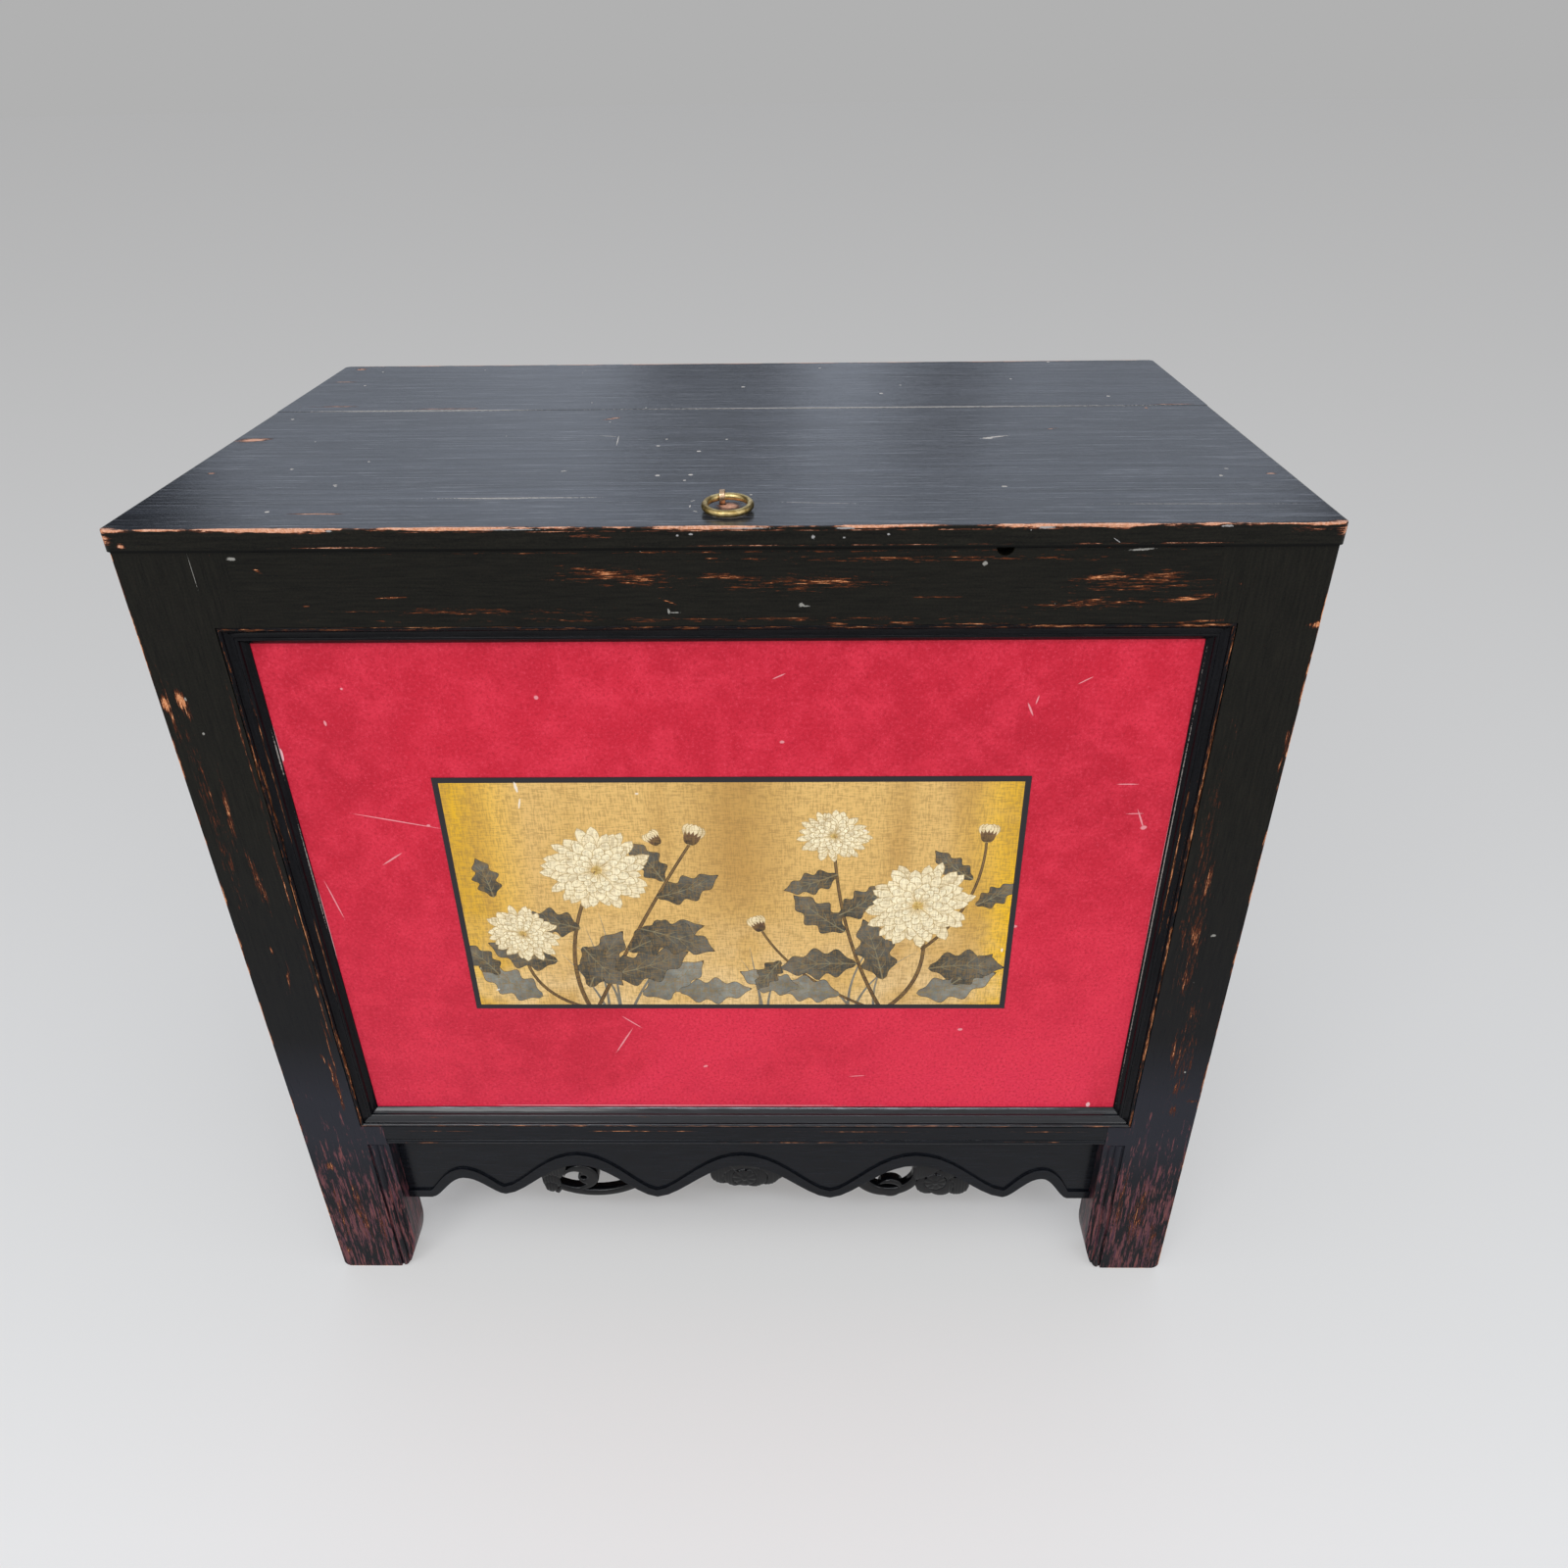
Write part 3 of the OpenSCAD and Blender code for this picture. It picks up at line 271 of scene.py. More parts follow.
        # Rows left by the brush, 7 mm wide, painted lighter blue-grey as a painted reflection of their sheen,
        # and long scuffs, drawn 3 mm wide as they are too fine to show
        rows = drawn_out(tree, place, along, 50, 7, 4.0, 0.75)
        rows = add(tree, "MapRange", {0: rows, 1: 0.4, 2: 0.62, 4: 0.8 * scuffs_and_sheen})
        line = drawn_out(tree, place, along, 34, 3.0, 5.0, 0.8)
        colour = add(tree, "MixRGB", {0: rows, 1: colour, 2: linear("#3B3E45")})
        colour = layers(tree, colour, (line, 0.54, 0.66, scuffs_and_sheen, "#75777C"))
        lines = add(tree, "Math", {0: rows, 1: 0.1}, operation="MULTIPLY")
    if legs:
        # Below the rails the film is thin and the red-brown ground shows in sharp streaks some 3 mm wide
        bands = drawn_out(tree, place, "Z", 13, 3.4, 5.0, 0.78, 0.1)
        low_down = add(tree, "MapRange", {0: up, 1: 430.0, 2: 110.0, 3: -0.12, 4: 0.12})
        low_down = add(tree, "Math", {0: stretch, 1: 0.3, 2: low_down}, operation="MULTIPLY_ADD")
        bands = add(tree, "Math", {0: low_down, 1: bands})
        thin = add(tree, "MapRange", {0: bands, 1: 0.77, 2: 0.8, 4: 0.92})
        # Painted reflection: the film turns blue-grey lower down, standing in for the floor's sheen on the
        # posts
        colour = layers(tree, colour, (up, 640.0, 180.0, 0.85, "#121319"))
        # A painted reflection: a blue-grey sheen painted on the film round the height of the bottom rail
        painted_sheen = add(tree, "Math", {0: up, 1: 245.0}, operation="SUBTRACT")
        painted_sheen = add(tree, "Math", {0: painted_sheen}, operation="ABSOLUTE")
        colour = layers(tree, colour, (painted_sheen, 120.0, 30.0, 0.8, "#26272F"))
        tint = layers(tree, linear("#4B2D3B"), (fine, 0.4, 0.62, 1.0, "#7B4946"))
        colour = add(tree, "MixRGB", {0: thin, 1: colour, 2: tint})
    ground = layers(tree, linear("#2A170B"), (dash, 0.35, 0.65, 1.0, under))
    colour = add(tree, "MixRGB", {0: rubbed, 1: colour, 2: ground})
    raw = layers(tree, linear(bare), (grit, 0.35, 0.68, 1.0, fresh))
    colour = add(tree, "MixRGB", {0: opened, 1: colour, 2: raw})

    # Small pale chips, the named ones and a scatter of dust-sized ones in cells of 3 cm
    cells = add(tree, "TexVoronoi", {"Vector": place, "Scale": 1 / 30, "Randomness": 1.0})
    size = add(tree, "SeparateColor", {0: cells.outputs["Color"]})
    size = add(tree, "MapRange", {0: size, 1: 0.55, 2: 1.0, 3: 0.0, 4: dust})
    chipped = add(tree, "Math", {0: cells.outputs["Distance"], 1: size}, operation="LESS_THAN")
    if chips or top_chips:
        near = nearest_mark(tree, place, chips, top_chips)
        wobble = add(tree, "Math", {0: grit, 1: 1.8, 2: near}, operation="MULTIPLY_ADD")
        flake = add(tree, "MapRange", {0: wobble, 1: 1.75, 2: 1.55, 4: 0.9})
        chipped = add(tree, "Math", {0: chipped, 1: flake}, operation="MAXIMUM")
    colour = add(tree, "MixRGB", {0: chipped, 1: colour, 2: linear(chip)})
    if seam_shade:
        # Painted shade: a soot-black band along the seam under the lid, where the gap's shadow falls
        dirt_and_shade = add(tree, "Math", {0: up, 1: seam_shade[0]}, operation="SUBTRACT")
        dirt_and_shade = add(tree, "Math", {0: dirt_and_shade}, operation="ABSOLUTE")
        dirt_and_shade = add(tree, "Math", {0: dirt_and_shade, 1: seam_shade[1]}, operation="LESS_THAN")
        colour = add(tree, "MixRGB", {0: dirt_and_shade, 1: colour, 2: linear("#030302")})

    inner = inside_mask(tree, place, bare_to)
    timber = add(tree, "MixRGB", {0: fine, 1: linear("#4A3220"), 2: linear("#94694A")})
    colour = add(tree, "MixRGB", {0: inner, 1: colour, 2: timber})

    worn = add(tree, "Math", {0: rubbed, 1: chipped}, operation="MAXIMUM")
    worn = add(tree, "Math", {0: worn, 1: inner}, operation="MAXIMUM")
    sheen = add(tree, "MapRange", {0: fine, 1: 0.36, 2: 0.66, 3: gloss - spread, 4: gloss + spread})
    rough = add(tree, "MixRGB", {0: worn, 1: sheen, 2: (0.62, 0.62, 0.62, 1)})
    film_edge = add(tree, "Math", {0: worn, 1: -0.12}, operation="MULTIPLY")
    height = add(tree, "Math", {0: fine, 1: brush, 2: film_edge}, operation="MULTIPLY_ADD")
    height = add(tree, "Math", {0: broad, 1: swell, 2: height}, operation="MULTIPLY_ADD")
    height = add(tree, "Math", {0: height, 1: lines}, operation="ADD")
    finish(tree, shader, colour, rough, height, specular=specular)
    return material


def bare_timber(name, along, dark="#4A3220", light="#94694A"):
    """Old unfinished elm, planed by hand, or split bamboo: brown, matt, with open grain along the piece."""
    material, tree, shader, place = new_finish(name)
    fine = drawn_out(tree, place, along, 30, 2.0, 6.0, 0.65)
    figure = drawn_out(tree, place, along, 9, 26, 4.0, 0.6, 1.2)
    rings = add(tree, "Math", {0: figure, 1: 46.0}, operation="MULTIPLY")
    rings = add(tree, "Math", {0: rings}, operation="SINE")
    rings = add(tree, "MapRange", {0: rings, 1: -1.0, 2: 1.0})
    rings = add(tree, "Math", {0: rings, 1: 0.3}, operation="MULTIPLY")
    mix = add(tree, "Math", {0: fine, 1: 0.6, 2: rings}, operation="MULTIPLY_ADD")
    colour = add(tree, "MixRGB", {0: mix, 1: linear(dark), 2: linear(light)})
    dirt_and_shade = add(tree, "TexNoise", {"Vector": place, "Scale": 1 / 130, "Detail": 4.0, "Roughness": 0.6})
    colour = layers(tree, colour, (dirt_and_shade, 0.45, 0.75, 0.45, "#33241A"))
    rough = add(tree, "MapRange", {0: fine, 3: 0.62, 4: 0.85})
    finish(tree, shader, colour, rough, fine, 0.35)
    return material


SCRATCHES = [
    (-304, 621, 46, 0.7, -12, 12), (-316, 579, 14, 1.0, 34, 12), (-380, 531, 0.8, 26, 12, 12),
    (-162, 746, 2.2, 2.2, 0, 12), (46, 702, 2.4, 1.8, 0, 12), (44, 765, 7, 0.7, 25, 12),
    (257, 733, 1.0, 8, 24, 12), (262, 742, 0.8, 5, -14, 12), (350, 658, 11, 0.7, 0, 12),
    (361, 627, 9, 0.6, 2, 12), (371, 612, 3.4, 2.6, 20, 12), (367, 621, 0.9, 13, 22, 12),
    (265, 499, 4, 2, 0, 12),
    (223, 366, 3, 2, 0, 12), (-38, 314, 3, 1.6, 20, 12), (-276, 616, 2, 1.6, 0, 12),
    (-326, 755, 1.4, 1.2, 0, 12), (-347, 722, 1.4, 3.2, 8, 12), (-120, 350, 1, 22, -30, 12),
    (-110, 376, 14, 0.8, -40, 12), (300, 760, 8, 0.6, 30, 12), (120, 300, 10, 0.6, 5, 12)]
# Pale chips along the panel's edges; the long pale line down its right edge is a painted highlight
EDGE_CHIPS_AND_HIGHLIGHT = [
    (-393.4, 700, 1.3, 40, 0, 12), (-392.2, 690, 2, 10, 0, 12), (393.4, 560, 0.9, 230, 0, 12),
    (-393, 500, 0.8, 60, 0, 12), (366, 258, 3, 5, 0, 12), (-80, 256, 300, 0.6, 0, 12)]


def red_lacquer():
    """Red lacquer rubbed to satin on the front panel: a deep warm red, clouded and slightly grained by the
    brush, with thin pale scratches, pale chips along its edges and a pale painted highlight down its right
    edge."""
    material, tree, shader, place = new_finish("red lacquer, satin")
    cloud = add(tree, "TexNoise", {
        "Vector": place, "Scale": 1 / 240, "Detail": 4.0, "Roughness": 0.55, "Distortion": 0.8})
    mottle = add(tree, "TexNoise", {"Vector": place, "Scale": 1 / 26, "Detail": 5.0, "Roughness": 0.65})
    # Dust in the film, drawn 3 mm apart because the real specks are too fine to show
    grit = add(tree, "TexNoise", {"Vector": place, "Scale": 1 / 3.0, "Detail": 3.0, "Roughness": 0.8})
    up = add(tree, "SeparateXYZ", {0: place}).outputs["Z"]
    # Painted shade: the red is lighter towards the bottom of the panel and darker towards its top
    colour = layers(
        tree, linear("#C41F35"), (up, 600.0, 260.0, 1.0, "#D82F4A"), (cloud, 0.4, 0.64, 0.75, "#B51B30"),
        (mottle, 0.42, 0.66, 0.6, "#DB3349"), (grit, 0.52, 0.66, 0.6, "#9E1428"),
        (grit, 0.46, 0.34, 0.28, "#E8556B"))
    scratch = nearest_mark(tree, place, SCRATCHES)
    scratch = add(tree, "Math", {0: grit, 1: 0.5, 2: scratch}, operation="MULTIPLY_ADD")
    colour = layers(tree, colour, (scratch, 1.22, 0.9, 0.62, "#E9A9AE"))
    # Pale chips, and the painted highlight down the right edge
    chip = nearest_mark(tree, place, EDGE_CHIPS_AND_HIGHLIGHT)
    chip = add(tree, "Math", {0: mottle, 1: 0.9, 2: chip}, operation="MULTIPLY_ADD")
    colour = layers(tree, colour, (chip, 1.2, 1.05, 0.9, "#E5B9BB"))
    rough = add(tree, "MapRange", {0: mottle, 1: 0.3, 2: 0.7, 3: 0.38, 4: 0.52})
    height = add(tree, "Math", {0: mottle, 1: 0.35}, operation="MULTIPLY")
    height = add(tree, "Math", {0: grit, 1: 0.05, 2: height}, operation="MULTIPLY_ADD")
    finish(tree, shader, colour, rough, height, specular=0.16)
    return material


def aged_brass(name, dull, polish):
    """Brass handled for years: metal, bright where fingers polish it and brown where they don't."""
    material, tree, shader, place = new_finish(name)
    patina = add(tree, "TexNoise", {"Vector": place, "Scale": 1 / 9, "Detail": 4.0, "Roughness": 0.6})
    grit = add(tree, "TexNoise", {"Vector": place, "Scale": 1 / 1.1, "Detail": 3.0, "Roughness": 0.7})
    colour = layers(tree, linear(dull), (patina, 0.38, 0.62, 1.0, polish), (grit, 0.58, 0.72, 0.7, "#4C4126"))
    shader.inputs["Metallic"].default_value = 1.0
    rough = add(tree, "MapRange", {0: grit, 1: 0.3, 2: 0.7, 3: 0.24, 4: 0.46})
    finish(tree, shader, colour, rough, grit, 0.12)
    return material


def forged_iron():
    """Hand-forged iron nails: dark scale with a little rust, rough to the eye."""
    material, tree, shader, place = new_finish("forged iron")
    scale = add(tree, "TexNoise", {"Vector": place, "Scale": 1 / 2.2, "Detail": 4.0, "Roughness": 0.7})
    rust = add(tree, "MapRange", {0: scale, 1: 0.5, 2: 0.7})
    colour = add(tree, "MixRGB", {0: rust, 1: linear("#3A3735"), 2: linear("#6B4027")})
    metal = add(tree, "MapRange", {0: rust, 3: 0.9, 4: 0.2})
    tree.links.new(metal.outputs[0], shader.inputs["Metallic"])
    rough = add(tree, "MapRange", {0: scale, 3: 0.4, 4: 0.75})
    finish(tree, shader, colour, rough, scale, 0.2)
    return material


# The picture's middle, and half its size inside the dark border
PICTURE_MIDDLE, PICTURE_INNER = (0, 0, 531), (259.6, 90, 130.6)


def print_ground():
    """Print on silk-textured paper under clear lacquer: a gold ground rubbed to ochre in upright bands, with
    motifs in cream, grey-green and brown. The sheet's "paint" attribute holds the motif's colour, and its
    alpha says where there is a motif."""
    material, tree, shader, place = new_finish("printed paper, gold ground")
    x, _, z = add(tree, "SeparateXYZ", {0: place}).outputs
    upright = drawn_out(tree, place, "Z", 7, 46, 4.0, 0.6)
    cloud = add(tree, "TexNoise", {"Vector": place, "Scale": 1 / 60, "Detail": 5.0, "Roughness": 0.6})
    # Silk threads both ways, drawn 1.6 mm wide because the real ones are too fine to show
    warp = drawn_out(tree, place, "Z", 7, 1.6, 2.0, 0.7)
    weft = drawn_out(tree, place, "X", 7, 1.6, 2.0, 0.7)
    weave = add(tree, "MapRange", {0: add(tree, "Math", {0: warp, 1: weft}), 1: 0.72, 2: 1.28})
    # Yellower towards the sides, and an upright rubbed column 4 mm right of the middle that fades downwards
    side = add(tree, "Math", {0: x, 1: 4.0}, operation="SUBTRACT")
    side = add(tree, "Math", {0: side}, operation="ABSOLUTE")
    gold = layers(tree, linear("#DEB56C"), (side, 190.0, 255.0, 1.0, "#EAB60A"))
    column = add(tree, "MapRange", {0: side, 1: 8.0, 2: 62.0, 3: 0.75, 4: 0.0})
    height = add(tree, "MapRange", {0: z, 1: 440.0, 2: 560.0})
    column = add(tree, "Math", {0: column, 1: height}, operation="MULTIPLY")
    aged = add(tree, "MapRange", {0: upright, 1: 0.46, 2: 0.68, 4: 0.6})
    aged = add(tree, "Math", {0: aged, 1: column}, operation="MAXIMUM")
    gold = add(tree, "MixRGB", {0: aged, 1: gold, 2: linear("#B2853F")})
    low_down = add(tree, "MapRange", {0: z, 1: 520.0, 2: 425.0, 4: 0.7})
    patchy = add(tree, "MapRange", {0: cloud, 1: 0.38, 2: 0.6})
    low_down = add(tree, "Math", {0: low_down, 1: patchy}, operation="MULTIPLY")
    gold = add(tree, "MixRGB", {0: low_down, 1: gold, 2: linear("#EED09C")})
    gold = layers(tree, gold, (cloud, 0.55, 0.72, 0.4, "#D0A658"))

    paint = add(tree, "Attribute", attribute_name="paint")
    # The paint lies thin and clouded over the ground
    mottle = add(tree, "TexNoise", {"Vector": place, "Scale": 1 / 9, "Detail": 5.0, "Roughness": 0.7})
    mottle = add(tree, "MapRange", {0: mottle, 1: 0.36, 2: 0.66, 3: 0.62, 4: 1.25})
    mottle = add(tree, "CombineColor", {0: mottle, 1: mottle, 2: mottle})
    light = add(tree, "SeparateColor", {0: paint.outputs["Color"]})
    pale = add(tree, "MapRange", {0: light, 1: 0.1, 2: 0.5, 3: 1.0, 4: 0.22})
    inked = add(tree, "MixRGB", {0: pale, 1: paint.outputs["Color"], 2: mottle}, blend_type="MULTIPLY")
    colour = add(tree, "MixRGB", {0: paint.outputs["Alpha"], 1: gold, 2: inked})
    colour = layers(tree, colour, (weave, 0.35, 0.8, 0.5, "#8E6E3A"))
    rim = box_distance(tree, place, PICTURE_MIDDLE, PICTURE_INNER)
    rim = add(tree, "Math", {0: rim, 1: 1.0}, operation="GREATER_THAN")
    colour = add(tree, "MixRGB", {0: rim, 1: colour, 2: linear("#232024")})
    grit = add(tree, "TexNoise", {"Vector": place, "Scale": 1 / 2.2, "Detail": 3.0, "Roughness": 0.7})
    marks = nearest_mark(tree, place, [
        (-191, 657, 1.6, 7, 10, 11), (-190, 640, 1.0, 6, -12, 11), (-84, 650, 2, 1, 0, 11),
        (120, 610, 2, 1.4, 0, 11), (256, 470, 1.2, 3, 0, 11), (-240, 420, 2.4, 1, 20, 11)])
    marks = add(tree, "Math", {0: grit, 1: 1.2, 2: marks}, operation="MULTIPLY_ADD")
    colour = layers(tree, colour, (marks, 1.5, 1.3, 0.85, "#EDE3D2"))
    rough = add(tree, "MapRange", {0: cloud, 1: 0.3, 2: 0.7, 3: 0.4, 4: 0.52})
    finish(tree, shader, colour, rough, weave, 0.04, 0.3)
    return material


def as_object(name, bm, material, smooth=None):
    """Links a finished mesh as a piece, with smooth faces where they turn less than the angle given."""
    mesh = bpy.data.meshes.new(name)
    bm.to_mesh(mesh)
    bm.free()
    if smooth:
        mesh.shade_smooth()
        mesh.set_sharp_from_angle(angle=math.radians(smooth))
        for face in mesh.polygons:
            # Squared faces keep their own normal, so that eased arrises don't bend their reflections
            if max(abs(v) for v in face.normal) > 0.9998:
                face.use_smooth = False
    mesh.materials.append(material)
    piece = bpy.data.objects.new(name, mesh)
    scene.collection.objects.link(piece)
    return piece


def node_copy(node):
    """The CAD node's mesh with its doubles merged and its flat faces joined."""
    bm = bmesh.new()
    bm.from_mesh(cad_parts[node].data)
    bmesh.ops.remove_doubles(bm, verts=bm.verts, dist=0.002 * MM)
    bmesh.ops.dissolve_limit(bm, angle_limit=math.radians(0.4), verts=bm.verts, edges=bm.edges)
    return bm


def soften(bm, width, crisp, sharp=35):
    """Eases the arrises of a piece by a width in millimetres, apart from those at a height up to crisp."""
    edges = [e for e in bm.edges if e.is_manifold and e.calc_face_angle() > math.radians(sharp)
             and max(v.co.z for v in e.verts) > crisp]
    bmesh.ops.bevel(
        bm, geom=edges, offset=width * MM, segments=2, profile=0.6, affect="EDGES", clamp_overlap=True)


def mark_extent(piece, node, covered=""):
    """Writes each point's distance in millimetres to the low and the high sides of its CAD node. Covered
    names sides such as "-x +z" whose arrises a neighbour protects from wear."""
    low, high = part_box(node)
    mesh = piece.data
    points = np.empty(len(mesh.vertices) * 3, np.float32)
    mesh.vertices.foreach_get("co", points)
    points = points.reshape(-1, 3)
    for name, sign, values in (("low", "-", points - np.array(low)), ("high", "+", np.array(high) - points)):
        values = np.maximum(values / MM, 0)
        for number, axis in enumerate("xyz"):
            if sign + axis in covered.split():
                values[:, number] += 1000
        layer = mesh.attributes.new(name, "FLOAT_VECTOR", "POINT")
        layer.data.foreach_set("vector", values.astype(np.float32).ravel())


def dress(node, body, material, ease=0.8, smooth=38, covered="", corners=0, crisp_foot=False):
    """A finished piece made from a copy of its CAD node, which it replaces. Corners rounds the upright
    arrises at its outer corners by a radius in millimetres."""
    bm = node_copy(node)
    if corners:
        low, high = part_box(node)
        posts = [e for e in bm.edges if abs(e.verts[0].co.z - e.verts[1].co.z) > 10 * MM and all(
            min(abs(v.co.x - low.x), abs(v.co.x - high.x)) < 0.1 * MM
            and abs(v.co.y - (low.y if "+y" in covered else high.y)) < 0.1 * MM for v in e.verts)]
        bmesh.ops.bevel(bm, geom=posts, offset=corners * MM, segments=4, affect="EDGES")
    if ease:
        soften(bm, ease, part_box(node)[0].z + 0.1 * MM if crisp_foot else -1)
    piece = as_object(node + "_finished", bm, material, smooth)
    mark_extent(piece, node, covered)
    settle(piece, node, body)
    return piece


def settle(piece, node, body):
    """Puts the piece on its body, in place of its CAD node, which it hides."""
    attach(piece, body)
    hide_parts(node)


# The picture: a painter's pile of flat shapes, each in millimetres from the middle of the sheet, x and up.
# Later shapes lie over earlier ones, and all are cut into one flat sheet at the end.
CREAM, SHADE, FOLD = linear("#FFF6D4"), linear("#E6CF9E"), linear("#BFA36E")
LEAF, LEAF_TIP, LEAF_EDGE, VEIN = linear("#3E3D34"), linear("#67645A"), linear("#26241F"), linear("#80795E")
GREY_LEAF, GREY_TIP = linear("#6F7068"), linear("#8F9086")
BARK, BARK_TIP, SEPAL = linear("#5B4228"), linear("#7A5F3C"), linear("#7C5A3C")
pile = []


def curve(start, turn, length, bend, count=9):
    """Points along a line that leaves start at an angle in degrees and drifts sideways by a share of its
    length."""
    t = np.linspace(0, 1, count)[:, None]
    ahead = np.array((math.cos(math.radians(turn)), math.sin(math.radians(turn))))
    return np.array(start) + length * t * ahead + bend * length * t ** 2 * np.array((-ahead[1], ahead[0]))


def ribbon(line, half, near, far):
    """Lays a shape along a line, with a half width at each of its points, shaded from near to far."""
    way = np.gradient(line, axis=0)
    side = np.column_stack((-way[:, 1], way[:, 0])) / np.maximum(np.linalg.norm(way, axis=1), 1e-6)[:, None]
    half = np.maximum(half, 0.02)[:, None]
    pile.append((np.vstack((line - side * half, (line + side * half)[::-1])), near, far, line[0], line[-1]))


def petal(root, turn, length, width, bend, light):
    """A ray petal with a thin contour, a fold down its middle and a rounded tip."""
    t = np.linspace(0, 1, 12)
    half = width / 2 * (0.32 + 0.68 * np.minimum(t / 0.7, 1) ** 1.2) * np.sqrt(
        1 - np.clip((t - 0.7) / 0.3, 0, 1) ** 2)
    line = curve(root, turn, length, bend, 12)
    dim = [a + (b - a) * light for a, b in zip(SHADE, CREAM)]
    ribbon(line, half, FOLD, FOLD)
    ribbon(root + (line - root) * (1 - 0.55 / length), half - 0.5, SHADE, dim)
    ribbon(line[2:9], 0.28 * np.linspace(1, 0.3, 7), FOLD, dim)


def bloom(x, z, radius, lean, squash, seed):
    """A full ray flower, drawn from its outer ring to its heart and foreshortened along its lean."""
    draw = random.Random(seed)
    first = len(pile)
    for ring, (count, reach, wide) in enumerate((
            (21, 1.0, 0.25), (20, 0.86, 0.25), (18, 0.7, 0.24), (15, 0.54, 0.22), (12, 0.38, 0.19),
            (9, 0.24, 0.14))):
        for k in range(count):
            turn = 360 * (k + 0.5 * (ring % 2)) / count + draw.uniform(-5, 5)
            root = 0.1 * radius * np.array((math.cos(math.radians(turn)), math.sin(math.radians(turn))))
            petal(root, turn, radius * reach * draw.uniform(0.84, 1.0),
                  radius * wide * draw.uniform(0.85, 1.1), draw.uniform(-0.16, 0.16),
                  0.55 + 0.09 * ring + draw.uniform(-0.12, 0.1))
    for k in range(14):
        turn = draw.uniform(0, 360)
        root = 0.05 * radius * draw.random() * np.array((math.cos(turn), math.sin(turn)))
        ribbon(curve(root, turn, 0.09 * radius, 0.2, 5), np.array((0.4, 0.8, 1, 0.8, 0.2)) * 0.03 * radius,
               linear("#B08A3A"), linear("#E3C983"))
    axis = np.array((math.cos(math.radians(lean)), math.sin(math.radians(lean))))
    flat = np.eye(2) - (1 - squash) * np.outer(axis, axis)
    for k in range(first, len(pile)):
        points, near, far, a, b = pile[k]
        pile[k] = (points @ flat + (x, z), near, far, a @ flat + (x, z), b @ flat + (x, z))


def leaf(x, z, turn, length, width, bend, near=LEAF, far=LEAF_TIP):
    """A long leaf with rounded lobes, a rib and side veins."""
    t = np.linspace(0, 1, 31)
    lobes = 0.8 + 0.2 * np.cos(2 * math.pi * 3.6 * (t + 0.03))
    half = width / 2 * np.sin(math.pi * t ** 0.85) ** 0.8 * lobes
    line = curve((x, z), turn, length, bend, 31)
    ribbon(line, half, LEAF_EDGE, LEAF_EDGE)
    ribbon(line[:-1], half[:-1] - 0.6, near, far)
    ribbon(line[:-4], np.linspace(0.75, 0.15, 27), VEIN, VEIN)
    for step in (5, 10, 15, 20):
        for sign in (-1, 1):
            ribbon(curve(line[step], turn + sign * 42, 0.98 * half[step] + 2, -0.15 * sign, 5),
                   np.linspace(0.42, 0.1, 5), VEIN, VEIN)


def stem(a, b, c, thick):
    """A stem from a to c, drawn towards b, that thins out."""
    t = np.linspace(0, 1, 15)[:, None]
    line = (1 - t) ** 2 * np.array(a) + 2 * t * (1 - t) * np.array(b) + t ** 2 * np.array(c)
    ribbon(line, np.linspace(thick, 0.6 * thick, 15) + 0.35, LEAF_EDGE, LEAF_EDGE)
    ribbon(line, np.linspace(thick, 0.6 * thick, 15) - 0.25, BARK, BARK_TIP)


def bud(x, z, turn, size, seed):
    """A closed flower in its sepals."""
    draw = random.Random(seed)
    for k in (-2, 2, -1, 1, 0):
        petal(np.array((x, z)), turn + 15 * k, size * draw.uniform(0.9, 1.0), 0.42 * size, -0.1 * k,
              0.4 - 0.1 * abs(k))
    for k in (-2, 2, -1, 1, 0):
        t = np.linspace(0, 1, 9)
        ribbon(curve((x, z), turn + 22 * k, 0.62 * size, -0.12 * k), 0.13 * size * np.sin(math.pi * t ** 0.6),
               LEAF_EDGE, SEPAL)


